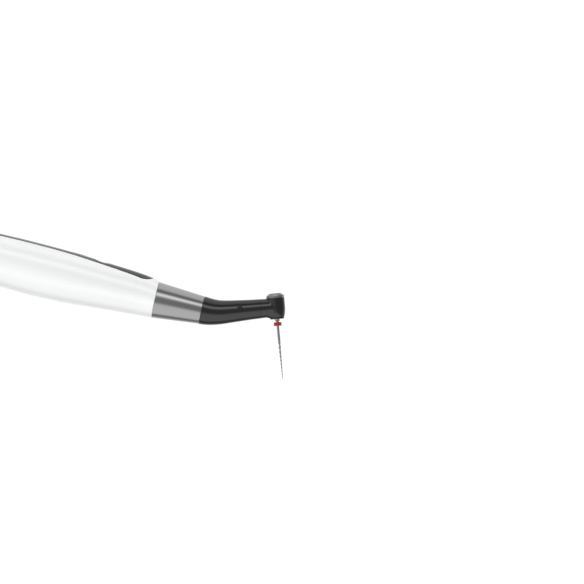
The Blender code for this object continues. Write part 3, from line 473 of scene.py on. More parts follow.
MAT = {
    "white": finish_material("grip_white", (0.90, 0.905, 0.91), 0.3, metal=0.12, var=0.012, rough_var=0.04, scale=90, fine=9000, bump=0.05, coat=0.4, coat_rough=0.12),
    "panel": finish_material("strip_black", (0.036, 0.037, 0.04), 0.24, var=0.15, rough_var=0.04, scale=400, fine=7000, bump=0.02, coat=0.25, coat_rough=0.05, spec=0.35),
    "button": finish_material("button_satin", (0.22, 0.225, 0.235), 0.42, var=0.05, scale=900, fine=9000, bump=0.12),
    "lens": finish_material("lens_smoke", (0.16, 0.2, 0.22), 0.08, var=0.05, scale=700, bump=0.01, transmission=0.5, coat=0.5, emission=((0.2, 0.75, 0.9), 0.25)),
    "collar": finish_material("collar_lacquer", (0.53, 0.53, 0.535), 0.17, metal=1.0, var=0.025, rough_var=0.03, scale=240, fine=5000, bump=0.03,
                              lines=("X", 1700.0, 0.7), wear=((0.75, 0.75, 0.76), 0.56)),
    "black": finish_material("neck_black", (0.094, 0.094, 0.097), 0.13, metal=1.0, var=0.05, rough_var=0.03, scale=300, fine=5200, bump=0.035),
    "cap": finish_material("cap_grey", (0.40, 0.40, 0.405), 0.27, metal=1.0, var=0.04, rough_var=0.05, scale=500, fine=6000, bump=0.05),
    "steel": finish_material("steel_turned", (0.60, 0.60, 0.61), 0.22, metal=1.0, var=0.05, scale=700, fine=7000, bump=0.06, lines=("X", 2600.0, 0.6)),
    "shank": finish_material("shank_steel", (0.66, 0.66, 0.665), 0.16, metal=1.0, var=0.04, scale=900, fine=9000, bump=0.05, lines=("Z", 3200.0, 0.6)),
    "niti": finish_material("file_alloy", (0.56, 0.56, 0.57), 0.2, metal=1.0, var=0.08, scale=1500, fine=12000, bump=0.1, lines=("Z", 5200.0, 0.5)),
    "red": finish_material("stop_silicone", (0.39, 0.015, 0.011), 0.42, var=0.12, scale=1200, fine=9000, bump=0.12, bump_dist=0.00003, subsurface=0.25, sheen=0.15),
    "brass": finish_material("brass_turned", (0.70, 0.52, 0.26), 0.28, metal=1.0, var=0.06, scale=700, fine=6000, bump=0.06, lines=("X", 2400.0, 0.6)),
    "gold": finish_material("contact_gold", (0.86, 0.62, 0.27), 0.18, metal=1.0, var=0.05, scale=1200, fine=9000, bump=0.05),
    "pcb": finish_material("board_laminate", (0.02, 0.15, 0.07), 0.4, var=0.12, scale=500, fine=5000, bump=0.06, lines=("Y", 900.0, 0.8), speck=((0.6, 0.5, 0.3), 420.0, 0.16)),
    "dark": finish_material("moulded_grey", (0.10, 0.10, 0.105), 0.5, var=0.08, scale=500, fine=5000, bump=0.2),
    "rubber": finish_material("seal_rubber", (0.018, 0.018, 0.018), 0.55, var=0.1, scale=900, fine=7000, bump=0.2),
    "cell": finish_material("cell_wrap", (0.05, 0.16, 0.36), 0.3, var=0.06, scale=200, fine=4000, bump=0.05, coat=0.4),
    "red_wire": finish_material("wire_red", (0.5, 0.02, 0.02), 0.45, var=0.08, scale=600, bump=0.08),
    "black_wire": finish_material("wire_black", (0.02, 0.02, 0.02), 0.45, var=0.08, scale=600, bump=0.08),
    "winding": finish_material("winding_copper", (0.62, 0.25, 0.10), 0.3, metal=1.0, var=0.1, scale=500, fine=4000, bump=0.3, lines=("X", 1500.0, 0.8)),
    # near-black: painted shade of the neck's set-screw recess, put on the screw itself
    "hole": finish_material("screw_painted_recess_shade", (0.02, 0.02, 0.021), 0.45, var=0.1, scale=700, bump=0.1),
}
CAD_LOOK = {
    "rear_gasket": "rubber", "inner_frame": "dark", "battery_cell": "cell", "control_board": "pcb", "start_switch": "dark", "mode_switch": "dark", "buzzer": "dark",
    "battery_lead_positive": "red_wire", "battery_lead_negative": "black_wire", "motor_can": "steel", "motor_end_bell": "dark", "motor_rear_bearing": "steel",
    "stator_winding": "winding", "motor_rotor": "steel", "motor_front_bearing": "steel", "drive_dog": "steel", "coupling_ring": "brass", "sun_shaft": "steel",
    "sun_shaft_bearing": "brass", "ring_gear": "brass", "planet_gear_1": "steel", "planet_gear_2": "steel", "planet_gear_3": "steel", "planet_carrier": "steel",
    "carrier_bearing": "brass", "bend_gear_rear": "steel", "bend_gear_front": "steel", "middle_bearing": "brass", "front_shaft_bearing": "brass",
    "front_drive_shaft": "steel", "head_lower_bearing": "steel", "head_upper_bearing": "steel", "chuck_spindle": "steel", "spindle_gear": "steel",
    "latch_blade": "steel"}
for node, look in CAD_LOOK.items():
    data = NODES[node].data
    data.materials.clear()
    data.materials.append(MAT[look])
    data.shade_smooth()
    data.set_sharp_from_angle(angle=math.radians(38))

# ------------------------------------------------------------------ the grip
R_DOM = 10.0                                   # mm of the flat domain per radian round the grip


def strip_loop(grow=0.0, n=44):
    """The control strip's outline from above: a pointed front, straight sides, a round rear."""
    half, x_tip, x_full, x_rear = 5.2 + grow, 115.2 + grow, 110.0, 38.0
    q = np.linspace(0, 1, n + 1)
    fx = x_full + (x_tip - x_full) * np.sin(q * math.pi / 2)
    fy = -half * np.cos(q * math.pi / 2) ** 0.85
    fy[-1] = 0
    front = np.stack([fx, fy], -1)
    front = np.vstack([front, (front[:-1] * (1, -1))[::-1]])
    q = np.linspace(0, math.pi / 2, 14)
    rear = np.stack([x_rear - (6.0 + grow) * np.sin(q), half * np.cos(q)], -1)
    rear = np.vstack([rear, (rear[:-1] * (1, -1))[::-1]])
    loop = np.vstack([front, rear])
    # even spacing of about 0.9 mm
    closed = np.vstack([loop, loop[:1]])
    run = np.concatenate([[0], np.cumsum(np.linalg.norm(np.diff(closed, axis=0), axis=1))])
    k = int(run[-1] / 0.8)
    s = np.linspace(0, run[-1], k, endpoint=False)
    return np.stack([np.interp(s, run, closed[:, 0]), np.interp(s, run, closed[:, 1])], -1)


def circle_loop(cx, cy, r, n=48):
    a = np.linspace(0, 2 * math.pi, n, endpoint=False)
    return np.stack([cx + r * np.cos(a), cy + r * np.sin(a)], -1)


def pill_loop(cx, length, width, n=14):
    r, s = width / 2, (length - width) / 2
    a = np.linspace(-math.pi / 2, math.pi / 2, n)
    p = np.vstack([np.stack([cx + s + r * np.cos(a), r * np.sin(a)], -1), np.stack([cx - s - r * np.cos(a), -r * np.sin(a)], -1)])
    m = max(2, int(2 * s / 0.5))
    mid = []
    for i in range(len(p)):
        mid.append(p[i])
        q = p[(i + 1) % len(p)]
        if np.linalg.norm(q - p[i]) > 0.9 * 2 * s and s > 0.3:
            for k in range(1, m):
                mid.append(p[i] + (q - p[i]) * k / m)
    return np.array(mid)


def plan_to_domain(loop):
    """From above (x, y) to the grip's (profile length, way round) domain."""
    x, y = loop[:, 0], loop[:, 1]
    t = t_of_x(x)
    zc = (_ft(t) + _fb(t)) / 2
    th = np.arctan2(grip_top(x, y) - zc, y)
    return np.stack([t, th * R_DOM], -1)


def grip_dom(a, b):
    return grip_point(a, b / R_DOM)


T0, T1 = float(t_of_x(12.06)), float(_chord[-1])
edges_a = [T0, T0 + 0.03, T0 + 0.075, T0 + 0.14, T0 + 0.4] + list(np.linspace(T0 + 0.9, T1 - 0.9, 128)) + [T1 - 0.4, T1 - 0.14, T1 - 0.075, T1 - 0.03, T1]
cols = np.linspace(-math.pi / 2, 1.5 * math.pi, 97) * R_DOM
grid = np.array([(a, b) for a in edges_a for b in cols])
slot_loop = plan_to_domain(strip_loop(0.12))
grip = sheet_solid("grip_shell", grid, grip_dom, 1.3, MAT["white"], "motor_handle", "handle_shell", holes=[slot_loop], ends=(T0, T1), seam=(cols[0], cols[-1]),
                   flip=-1)

# the strip
START_X, MODE_X, LENS_X = 92.0, 81.5, 71.5


def plan_surface(a, b):
    return np.stack([a, b, grip_top(a, b)], -1)


outline = strip_loop(0.0)
gx, gy = np.arange(30, 117, 0.85), np.arange(-5.4, 5.41, 0.6)
pgrid = np.array([(x, y) for x in gx for y in gy])
start_hole, mode_hole, lens_hole = circle_loop(START_X, 0, 4.1, 64), pill_loop(MODE_X, 6.2, 3.4), pill_loop(LENS_X, 8.2, 2.2)
sheet_solid("control_strip", pgrid, plan_surface, 1.3, MAT["panel"], "motor_handle", "top_panel", outline=outline, holes=[start_hole, mode_hole, lens_hole],
            drop_all=0.02, edge=[(0.0, 0.10), (0.025, 0.04), (0.06, 0.01), (0.12, 0.0)], clear=0.25)


def crowned_button(name, loop, dish, mat, body, replaces, depth, sink=0.0, rings=14):
    """A button that follows the grip's surface, with a rounded rim; dish(s) is its height at s, from 0 at the middle to 1 at the rim."""
    c = loop.mean(0)
    V, faces = [], []
    ss = [1 - k / rings for k in range(rings + 1)]
    rim = [(1.0, -0.16), (0.995, -0.07), (0.985, -0.02)]
    levels = rim + [(s * 0.97, 0.0) for s in ss[:-1]]
    n = len(loop)
    z_low = grip_top(loop[:, 0], loop[:, 1]).min() - depth
    V += [(x, y, z_low) for x, y in c + (loop - c) * 1.0]
    for s, dz in levels:
        p = c + (loop - c) * s
        z = grip_top(p[:, 0], p[:, 1]) - sink + dz + dish(s)
        V += list(zip(p[:, 0], p[:, 1], z))
    rows = len(levels) + 1
    for r in range(rows - 1):
        for i in range(n):
            j = (i + 1) % n
            faces.append([r * n + i, r * n + j, (r + 1) * n + j, (r + 1) * n + i])
    V.append((c[0], c[1], float(grip_top(c[:1], c[1:])[0]) - sink + dish(0.0)))
    m = len(V) - 1
    for i in range(n):
        faces.append([(rows - 1) * n + i, (rows - 1) * n + (i + 1) % n, m])
    faces.append(list(range(n))[::-1])
    V = np.array(V, float)
    return build(name, V, outward(V, faces), mat, body, replaces, sharp=50)


crowned_button("start_key", circle_loop(START_X, 0, 3.9, 96), lambda s: -0.42 * (1 - min(1, s / 0.86) ** 2) ** 1.5, MAT["button"], "start_button", "start_button", 2.2, sink=0.08,
               rings=22)
crowned_button("mode_key", pill_loop(MODE_X, 5.9, 3.1, 20), lambda s: 0.06 * (1 - s * s) - 0.02, MAT["button"], "mode_button", "mode_button", 1.8)
crowned_button("status_light", pill_loop(LENS_X, 7.9, 1.9, 16), lambda s: -0.02, MAT["lens"], "motor_handle", "status_lens", 2.6)

# ------------------------------------------------------------------ rear cap
TC = float(t_of_x(11.94))
ca = [0.0, 0.12, 0.28, 0.5] + list(np.linspace(0.8, TC - 0.5, 34)) + [TC - 0.25, TC - 0.14, TC - 0.075, TC - 0.03, TC]
nb = 96
th = np.linspace(-math.pi / 2, 1.5 * math.pi, nb, endpoint=False)
A = np.array(ca)
outer = np.stack([grip_point(np.full(nb, a), th) for a in A])
nxt = np.stack([grip_point(np.full(nb, min(a + 0.02, TC)), th) - grip_point(np.full(nb, max(a - 0.02, 0)), th) for a in A])
nth = np.stack([grip_point(np.full(nb, a), th + 0.002) - grip_point(np.full(nb, a), th - 0.002) for a in A])
NR = -unit(np.cross(nxt, nth))
drop = np.array([0.12 if a == TC else 0.045 if a == TC - 0.03 else 0.012 if a == TC - 0.075 else 0 for a in A])
outer = outer - NR * drop[:, None, None]
inner = np.stack([grip_point(np.full(nb, a), th) for a in A]) - NR * 1.3
V = [*outer.reshape(-1, 3)]
faces = []
na = len(A)
for i in range(na - 1):
    for j in range(nb):
        k = (j + 1) % nb
        faces.append([i * nb + j, i * nb + k, (i + 1) * nb + k, (i + 1) * nb + j])
off = len(V)
keep_rows = [i for i in range(na) if A[i] > 1.6 or i == na - 1]
V += list(np.concatenate([inner[i] for i in keep_rows]))
for r in range(len(keep_rows) - 1):
    for j in range(nb):
        k = (j + 1) % nb
        faces.append([off + r * nb + k, off + r * nb + j, off + (r + 1) * nb + j, off + (r + 1) * nb + k])
last = off + (len(keep_rows) - 1) * nb
for j in range(nb):
    k = (j + 1) % nb
    faces.append([(na - 1) * nb + j, (na - 1) * nb + k, last + k, last + j])
# the flat rear face with its wells, and the inside floor
CONTACTS = [(2.2, 6.4), (-2.2, 6.4)]
SCREWS = [(3.7, 2.6), (-3.7, 2.6)]
face_loop = outer[0][:, 1:]
wells = [circle_loop(y, z, 1.02, 32) for y, z in CONTACTS] + [circle_loop(y, z, 1.2, 32) for y, z in SCREWS]
pts = [tuple(p) for p in face_loop]
loops = [list(range(nb))]
chamf = []
for w in wells:
    for d in (0.0, 0.12):
        q = offset_loop(w, d)
        loops.append(list(range(len(pts), len(pts) + len(q))))
        pts += [tuple(p) for p in q]
gg = np.array([(y, z) for y in np.arange(-5, 5.1, 0.55) for z in np.arange(-1.2, 9.5, 0.55)])
ok = poly_inside(face_loop, gg) & (poly_dist(face_loop, gg) > 0.35)
for w in wells:
    ok &= ~poly_inside(w, gg) & (poly_dist(w, gg) > 0.35)
pts += [tuple(p) for p in gg[ok]]
cons = [(l[i], l[(i + 1) % len(l)]) for l in loops for i in range(len(l))]
vs, _, fs, ov, _, _ = delaunay_2d_cdt([Vector(p) for p in pts], cons, [], 0, 1e-8)
P2 = np.array(pts)
back = [o[0] for o in ov]
base = len(V)
rim_ids = {i for k in range(len(wells)) for i in loops[1 + 2 * k]}
for i, p in enumerate(P2):
    V.append(np.array([0.07 if i in rim_ids else 0.0, p[0], p[1]]))
for f in fs:
    t = [back[v] for v in f]
    cen = P2[t].mean(0)[None]
    if not poly_inside(face_loop, cen)[0] or any(poly_inside(w, cen)[0] for w in wells):
        continue
    t = [(i if i < nb else base + i) for i in t]
    a, b_, c_ = (V[t[0]], V[t[1]], V[t[2]])
    if np.cross(b_ - a, c_ - a)[0] > 0:
        t = t[::-1]
    faces.append(t)
for k, w in enumerate(wells):                       # well walls, to 1.3 mm deep, with the hole's own step on the screws
    ids = [base + i for i in loops[1 + 2 * k]]
    n = len(ids)
    steps = [(1.3, 1.0)] if k < 2 else [(0.75, 1.0), (0.78, 0.74), (1.3, 0.72)]
    prev = ids
    c = w.mean(0)
    for depth, sc in steps:
        cur = list(range(len(V), len(V) + n))
        V += [np.array([depth, *(c + (p - c) * sc)]) for p in w]
        for i in range(n):
            j = (i + 1) % n
            faces.append([prev[i], prev[j], cur[j], cur[i]])
        prev = cur
V = np.array(V)
# the wall's inner face: joins the foot of the four wells to the end of the inner skin
uses = {}
for f in faces:
    for i in range(len(f)):
        e = (int(f[i]), int(f[(i + 1) % len(f)]))
        uses.setdefault(tuple(sorted(e)), []).append(e)
rim_e = [k for k, v in uses.items() if len(v) == 1]
rim_v = sorted({i for e in rim_e for i in e})
slot_of = {v: i for i, v in enumerate(rim_v)}
_, _, fs2, ov2, _, _ = delaunay_2d_cdt([Vector((float(V[i][1]), float(V[i][2]))) for i in rim_v], [(slot_of[a], slot_of[b]) for a, b in rim_e], [], 0, 1e-8)
near = {}
for a, b in rim_e:
    near.setdefault(a, []).append(b)
    near.setdefault(b, []).append(a)
left, rings2 = set(rim_v), []
while left:
    start = min(left)
    ring, prev_v, cur_v = [start], None, start
    while True:
        left.discard(cur_v)
        nxt = [q for q in near[cur_v] if q != prev_v and (q in left or q == start)]
        if not nxt or nxt[0] == start:
            break
        prev_v, cur_v = cur_v, nxt[0]
        ring.append(cur_v)
    rings2.append(np.array([[V[i][1], V[i][2]] for i in ring]))
rings2.sort(key=len)
for f in fs2:
    t = [rim_v[ov2[v][0]] for v in f]
    cen = V[t][:, 1:].mean(0)[None]
    if not poly_inside(rings2[-1], cen)[0] or any(poly_inside(q, cen)[0] for q in rings2[:-1]):
        continue
    if np.cross(V[t[1]] - V[t[0]], V[t[2]] - V[t[0]])[0] < 0:
        t = t[::-1]
    faces.append(t)
build("rear_cap_shell", V, faces, MAT["white"], "motor_handle", "rear_cap", sharp=40)
for (y, z), side in zip(CONTACTS, ("left", "right")):
    turned(f"contact_pin_{side}", [(0, 0.12), (0.35, 0.14), (0.62, 0.28), (0.86, 0.5), (0.9, 0.75), (0.9, 2.2), (1.4, 2.25), (1.4, 3.0), (0.5, 3.05), (0.5, 4.0), (0, 4.0)],
           MAT["gold"], "motor_handle", DRIVE, n=48, replaces=f"charge_contact_{side}", closed=False, loc=(-z, y, 0), radius=0.05)
for (y, z), side in zip(SCREWS, ("left", "right")):
    hexr = lambda r, m=6: [(r / max(math.cos(((2 * math.pi * i / 48) % (2 * math.pi / m)) - math.pi / m), 1e-6)) for i in range(48)]
    cir = lambda r, zz: [(r * math.cos(2 * math.pi * i / 48), r * math.sin(2 * math.pi * i / 48), zz) for i in range(48)]
    hx = lambda r, zz: [(q * math.cos(2 * math.pi * i / 48), q * math.sin(2 * math.pi * i / 48), zz) for i, q in enumerate(hexr(r))]
    rr = [hx(0.02, 0.68), hx(0.42, 0.62), hx(0.46, 0.16), hx(0.5, 0.1), cir(0.95, 0.1), cir(1.06, 0.14), cir(1.1, 0.22), cir(1.1, 0.68), cir(0.66, 1.1), cir(0.65, 14.9), cir(0.02, 15.1)]
    rr = [[(x - z, yy + y, zz) for x, yy, zz in r] for r in rr]
    rings_mesh(f"cap_screw_{side}", rr, MAT["steel"], "motor_handle", f"rear_cap_screw_{side}", axes=DRIVE, sharp=35)

# ------------------------------------------------------------------ motor nose and seals, seen when the contra-angle comes off
turned("nose_spigot", [(2.75, 129.0), (4.5, 129.0, 0.15), (4.8, 128.6, 0.15), (4.8, 127.0), (4.25, 126.95), (4.25, 125.65), (4.8, 125.6), (4.8, 120.0), (4.25, 119.95), (4.25, 118.65),
                       (4.8, 118.6), (4.8, 117.6), (6.4, 117.6, 0.12), (6.6, 117.4), (6.6, 109.3), (6.4, 109.1), (3.4, 109.1), (2.75, 109.6)],
       MAT["steel"], "motor_handle", DRIVE, n=112, replaces="motor_nose", radius=0.05)
for nm, x in (("rear", 119.3), ("front", 126.3)):
    prof = [(4.69 + 0.34 * math.cos(a), x + 0.34 * math.sin(a)) for a in (2 * math.pi * i / 20 for i in range(20))]
    turned(f"seal_ring_{nm}", prof, MAT["rubber"], "motor_handle", DRIVE, n=96, replaces=f"nose_o_ring_{nm}", radius=0, sharp=80)

# ------------------------------------------------------------------ collar
turned("collar_cone", [(5.15, 118.1), (8.0, 118.1, 0.05), (8.055, 118.2, 0.06), (7.11, 128.5, 0), (6.2, 138.44, 0.05), (6.12, 138.5), (5.4, 138.5), (5.4, 130.65), (2.35, 130.65),
                       (2.35, 129.65), (5.15, 129.65), (5.15, 121.6), (5.95, 121.6), (5.95, 120.0), (5.15, 120.0)],
       MAT["collar"], "contra_angle", DRIVE, n=160, replaces="collar_sleeve", radius=0.04)

# ------------------------------------------------------------------ neck
TAN = BEND_R * math.tan(SLOPE / 2)
X_ARC = BEND[0] - TAN
LEAD = X_ARC - (COLLAR_FRONT + 0.1)
ARC = BEND_R * SLOPE
U_END = LEAD + ARC + (20.7 - TAN)


def neck_axis(u):
    u = np.asarray(u, float)
    a = np.clip((u - LEAD) / BEND_R, 0, SLOPE)
    x = np.where(u < LEAD, COLLAR_FRONT + 0.1 + u, X_ARC + BEND_R * np.sin(a))
    z = np.where(u < LEAD, 0.0, BEND_R * (1 - np.cos(a)))
    more = np.maximum(u - LEAD - ARC, 0)
    return x + more * C * (u > LEAD + ARC), z + more * S * (u > LEAD + ARC), a


NECK_R = pchip([0.0, 0.15, 1.2, 3.0, 5.0, 7.0, 9.0, 11.0, 13.5, 17.5, 21.5, U_END - 0.1, U_END],
               [6.12, 6.17, 6.12, 5.92, 5.66, 5.42, 5.2, 5.02, 4.84, 4.59, 4.36, 4.2, 4.19])
NECK_LOW = pchip([0.0, 1.2, 3.0, 5.0, 7.0, 9.0, 11.0, 13.5, U_END], [0.0, 0.0, 0.06, 0.1, 0.13, 0.15, 0.18, 0.2, 0.2])
NECK_DOM = 5.0


def neck_dom(a, b):
    x, z, ang = neck_axis(a)
    r, low = NECK_R(a), NECK_LOW(a)
    th = b / NECK_DOM
    up = r * np.sin(th) - low
    return np.stack([x - np.sin(ang) * up, r * np.cos(th), z + np.cos(ang) * up], -1)


def neck_find(q, hh):
    """Domain point of a spot on the -Y side, given along and across the front axis."""
    u = LEAD + ARC + (q - TAN)
    r = float(NECK_R(u))
    return u, (math.pi - math.asin((hh + float(NECK_LOW(u))) / r)) * NECK_DOM


NECK_WALL = 1.0
U_A = -0.14
na_ = [U_A, U_A + 0.02, U_A + 0.05, U_A + 0.09, U_A + 0.3] + list(np.linspace(U_A + 0.6, U_END - 0.6, 80)) + [U_END - 0.3, U_END - 0.09, U_END - 0.05, U_END - 0.02, U_END]
ncols = np.linspace(-math.pi / 2, 1.5 * math.pi, 97) * NECK_DOM
ngrid = np.array([(a, b) for a in na_ for b in ncols])
SC_Q, SC_H = 11.8, 1.0
cu, cb = neck_find(SC_Q, SC_H)
sr = 1.05
screw_hole = circle_loop(cu, cb, sr, 48)
screw_hole[:, 1] = cb + (screw_hole[:, 1] - cb) * NECK_DOM / float(NECK_R(cu))
sheet_solid("neck_tube", ngrid, neck_dom, NECK_WALL, MAT["black"], "contra_angle", "neck_housing", holes=[screw_hole], ends=(U_A, U_END), seam=(ncols[0], ncols[-1]),
            edge=[(0.0, 0.05), (0.02, 0.018), (0.05, 0.004), (0.09, 0.0)], clear=0.22, flip=-1)
# its set screw: a hexagon-socket grub screw, just below the surface; its near-black colour is painted shade of the
# recess it sits in
sc_ax = (BEND + SC_Q * F_AX + SC_H * H_AX, F_AX, H_AX, -Y_AX)
hexr = lambda r: [(r / math.cos(((2 * math.pi * i / 48) % (math.pi / 3)) - math.pi / 6)) for i in range(48)]
cir = lambda r, zz: [(r * math.cos(2 * math.pi * i / 48), r * math.sin(2 * math.pi * i / 48), zz) for i in range(48)]
hx = lambda r, zz: [(q * math.cos(2 * math.pi * i / 48), q * math.sin(2 * math.pi * i / 48), zz) for i, q in enumerate(hexr(r))]
rings_mesh("neck_grub_screw", [hx(0.02, 3.5), hx(0.40, 3.55), hx(0.43, 4.12), hx(0.47, 4.2), cir(0.82, 4.2), cir(0.92, 4.15), cir(0.95, 4.05), cir(0.95, 3.4), cir(0.02, 3.35)],
           MAT["hole"], "contra_angle", "neck_set_screw", axes=sc_ax, sharp=35)


# ------------------------------------------------------------------ head casting, from a distance field
def smax(a, b, k):
    h = np.maximum(k - np.abs(a - b), 0) / k
    return np.maximum(a, b) + h * h * k * 0.25


def smin(a, b, k):
    return -smax(-a, -b, k)


def head_field(p):
    x, y, z = p[:, 0], p[:, 1], p[:, 2]
    r = np.hypot(x, y)
    body = smax(r - 4.01, z - 3.9, 0.2)
    body = smax(body, (r - 4.0) * 0.97 + (-z - 1.9) * 0.24, 0.5)
    body = smax(body, (r - 3.52) * 0.86 + (-z - 3.9) * 0.50, 0.5)
    body = smax(body, -z - 4.62, 0.12)
    q = x + 27.3
    rr = np.hypot(y, z)
    stub = smax(np.hypot(y, z + 0.2) - (4.2 - 0.045 * (q - 20.75)), 20.715 - q, 0.05)
    stub = smax(stub, x + 0.55, 1.3)
    plug = np.maximum(rr - 3.0, np.maximum(18.6 - q, q - 21.5))
    under = np.clip((-z - 1.6) / 1.6, 0, 1) * np.clip((-x - 1.9) / 1.5, 0, 1)
    solid = np.minimum(smin(body, stub, 0.4 + 1.5 * under), plug)
    solid = np.maximum(solid, -z - 4.62)
    bore = np.maximum(r - 2.95, -2.95 - z)
    low = np.maximum(r - 2.7, z + 2.6)
    shaft = np.maximum(rr - 2.2, x + 1.5)
    return np.maximum(solid, -np.minimum(np.minimum(bore, low), shaft))


def surface_nets(f, lo, hi, cell):
    lo, hi = np.array(lo, float), np.array(hi, float)
    n = np.ceil((hi - lo) / cell).astype(int) + 1
    ax = [lo[k] + cell * np.arange(n[k]) for k in range(3)]
    G = np.stack(np.meshgrid(*ax, indexing="ij"), -1)
    phi = f(G.reshape(-1, 3)).reshape(n)
    acc = np.zeros((*(n - 1), 3))
    cnt = np.zeros(n - 1)
    edges = []
    for k in range(3):
        s0 = [slice(None)] * 3
        s1 = [slice(None)] * 3
        s0[k], s1[k] = slice(0, -1), slice(1, None)
        p0, p1 = phi[tuple(s0)], phi[tuple(s1)]
        idx = np.argwhere((p0 < 0) != (p1 < 0))
        a, b = p0[tuple(idx.T)], p1[tuple(idx.T)]
        pos = lo + idx * cell
        pos[:, k] += cell * a / (a - b)
        u, v = [m for m in range(3) if m != k]
        for du in (0, -1):
            for dv in (0, -1):
                c = idx.copy()
                c[:, u] += du
                c[:, v] += dv
                good = ((c >= 0) & (c < n - 1)).all(1)
                np.add.at(acc, tuple(c[good].T), pos[good])
                np.add.at(cnt, tuple(c[good].T), 1)
        edges.append((k, idx, a < 0))
    mask = cnt > 0
    index = np.full(n - 1, -1)
    index[mask] = np.arange(mask.sum())
    V = acc[mask] / cnt[mask][:, None]
    faces = []
    for k, idx, neg in edges:
        u, v = [(1, 2), (2, 0), (0, 1)][k]
        ring = []
        for du, dv in ((0, 0), (-1, 0), (-1, -1), (0, -1)):
            c = idx.copy()
            c[:, u] += du
            c[:, v] += dv
            bad = ((c < 0) | (c >= n - 1)).any(1)
            c = np.clip(c, 0, n - 2)
            i = index[tuple(c.T)]
            i[bad] = -1
            ring.append(i)
        q = np.stack(ring, -1)
        q[~neg] = q[~neg][:, ::-1]
        faces.append(q[(q >= 0).all(1)])
    return V, np.concatenate(faces)


def gradient(f, p, e=0.01):
    g = np.zeros_like(p)
    for k in range(3):
        d = np.zeros(3)
        d[k] = e
        g[:, k] = (f(p + d) - f(p - d)) / (2 * e)
    return g


HV, HF = surface_nets(head_field, (-9.0, -4.6, -4.95), (4.35, 4.6, 4.25), 0.15)
for _ in range(4):
    g = gradient(head_field, HV)
    g2 = np.maximum((g * g).sum(1), 0.3)
    step = (head_field(HV) / g2)[:, None] * g
    HV = HV - np.clip(step, -0.08, 0.08)
# the edge against the neck tube is a true circle
hq = HV[:, 0] + 27.3
hr = np.hypot(HV[:, 1], HV[:, 2] + 0.2)
rim = (np.abs(hq - 20.715) < 0.1) & (hr > 4.05)
HV[rim, 0] = 20.715 - 27.3
HV[rim, 1] *= 4.2 / hr[rim]
HV[rim, 2] = (HV[rim, 2] + 0.2) * 4.2 / hr[rim] - 0.2
HN = unit(gradient(head_field, HV, 0.03))
HN[rim] = unit(np.stack([np.full(rim.sum(), -0.2), HV[rim, 1], HV[rim, 2] + 0.2], -1))
ids = np.flatnonzero(rim)                          # points that met on the edge become one
ids = ids[np.argsort(np.arctan2(HV[ids, 1], HV[ids, 2] + 0.2))]
same = np.arange(len(HV))
for k in range(1, len(ids)):
    if np.linalg.norm(HV[ids[k]] - HV[same[ids[k - 1]]]) < 0.03:
        same[ids[k]] = same[ids[k - 1]]
if np.linalg.norm(HV[ids[-1]] - HV[ids[0]]) < 0.03:
    same[same == same[ids[-1]]] = ids[0]
_, first_at, group = np.unique(np.round(HV, 3), axis=0, return_index=True, return_inverse=True)   # and so do points that coincide inside the bores
same = first_at[group.reshape(-1)][same]
merged = []
for f in HF.tolist():
    g = [int(same[i]) for i in f]
    g = [g[i] for i in range(len(g)) if g[i] != g[i - 1]]
    if len(set(g)) == len(g) and len(g) >= 3:
        merged.append(g)
used = np.unique([i for f in merged for i in f])
slot_h = np.full(len(HV), -1)
slot_h[used] = np.arange(len(used))
HV, HN = HV[used], HN[used]
head_faces = outward(HV, [[int(slot_h[i]) for i in f] for f in merged])
axes_h = np.stack([F_AX, Y_AX, H_AX])
build("head_casting", place(HV, *HEADZ), head_faces, MAT["black"], "contra_angle", "head_housing", normals=HN @ axes_h)

# ------------------------------------------------------------------ cap, guard, stop
turned("cap_retainer", [(2.35, 3.3), (2.88, 3.3), (2.88, 3.93), (3.92, 3.93, 0.05), (4.0, 4.02, 0.06), (4.0, 4.66, 0.35), (3.88, 5.02, 0.4), (3.5, 5.31, 0.16), (3.22, 5.3, 0.05), (3.22, 4.9),
                        (3.5, 4.88), (3.5, 4.2), (2.35, 4.2)], MAT["cap"], "contra_angle", HEADZ, n=128, replaces="head_cap_ring", radius=0.03, rn=6)
turned("release_button", [(0, 6.0), (1.6, 5.985, 3), (2.5, 5.9, 1.0), (2.97, 5.66, 0.4), (3.12, 5.3, 0.2), (3.12, 4.87), (3.4, 4.85), (3.4, 4.82), (2.8, 4.81), (2.8, 5.35), (1.9, 5.35),
                          (1.9, 4.48), (1.5, 4.48), (1.5, 5.35), (0, 5.35)], MAT["cap"], "push_button", HEADZ, n=112, replaces="push_button", closed=False, radius=0.02,
       rn=6)
# the return spring under the button: a round wire coil, built at its rest length; the real one closes up as the button
# goes down, which this script does not show
SPR = (2.5, 4.33, 5.22, 2.5, 0.1)                  # coil radius, foot, top, turns, wire radius
spring_rings = []
for i in range(121):
    t = i / 120
    a = 2 * math.pi * SPR[3] * t
    zc = SPR[1] + (SPR[2] - SPR[1]) * t
    spring_rings.append([((SPR[0] + SPR[4] * math.cos(w)) * math.cos(a), (SPR[0] + SPR[4] * math.cos(w)) * math.sin(a), zc + SPR[4] * math.sin(w))
                         for w in (2 * math.pi * k / 12 for k in range(12))])
return_spring = rings_mesh("return_spring", spring_rings, MAT["steel"], "contra_angle", "button_spring", axes=HEADZ, sharp=60)
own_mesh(return_spring)
turned("guard_lip", [(1.8, -4.52), (3.14, -4.52, 0.04), (3.2, -4.6, 0.05), (3.2, -5.0, 0.15), (2.95, -5.28, 0.14), (1.95, -5.28, 0.08), (1.8, -5.15, 0.05)], MAT["black"],
       "contra_angle", HEADZ, n=96, replaces="chuck_guard_ring", radius=0.03)


def stop_wave(V):
    a = np.arctan2(V[:, 1], V[:, 0])
    r = np.hypot(V[:, 0], V[:, 1])
    k = 1 + 0.006 * np.sin(3 * a + 0.7) + 0.004 * np.sin(7 * a)
    V = V.copy()
    out = r > 1.0
    V[out, 0] *= k[out]
    V[out, 1] *= k[out]
    return V


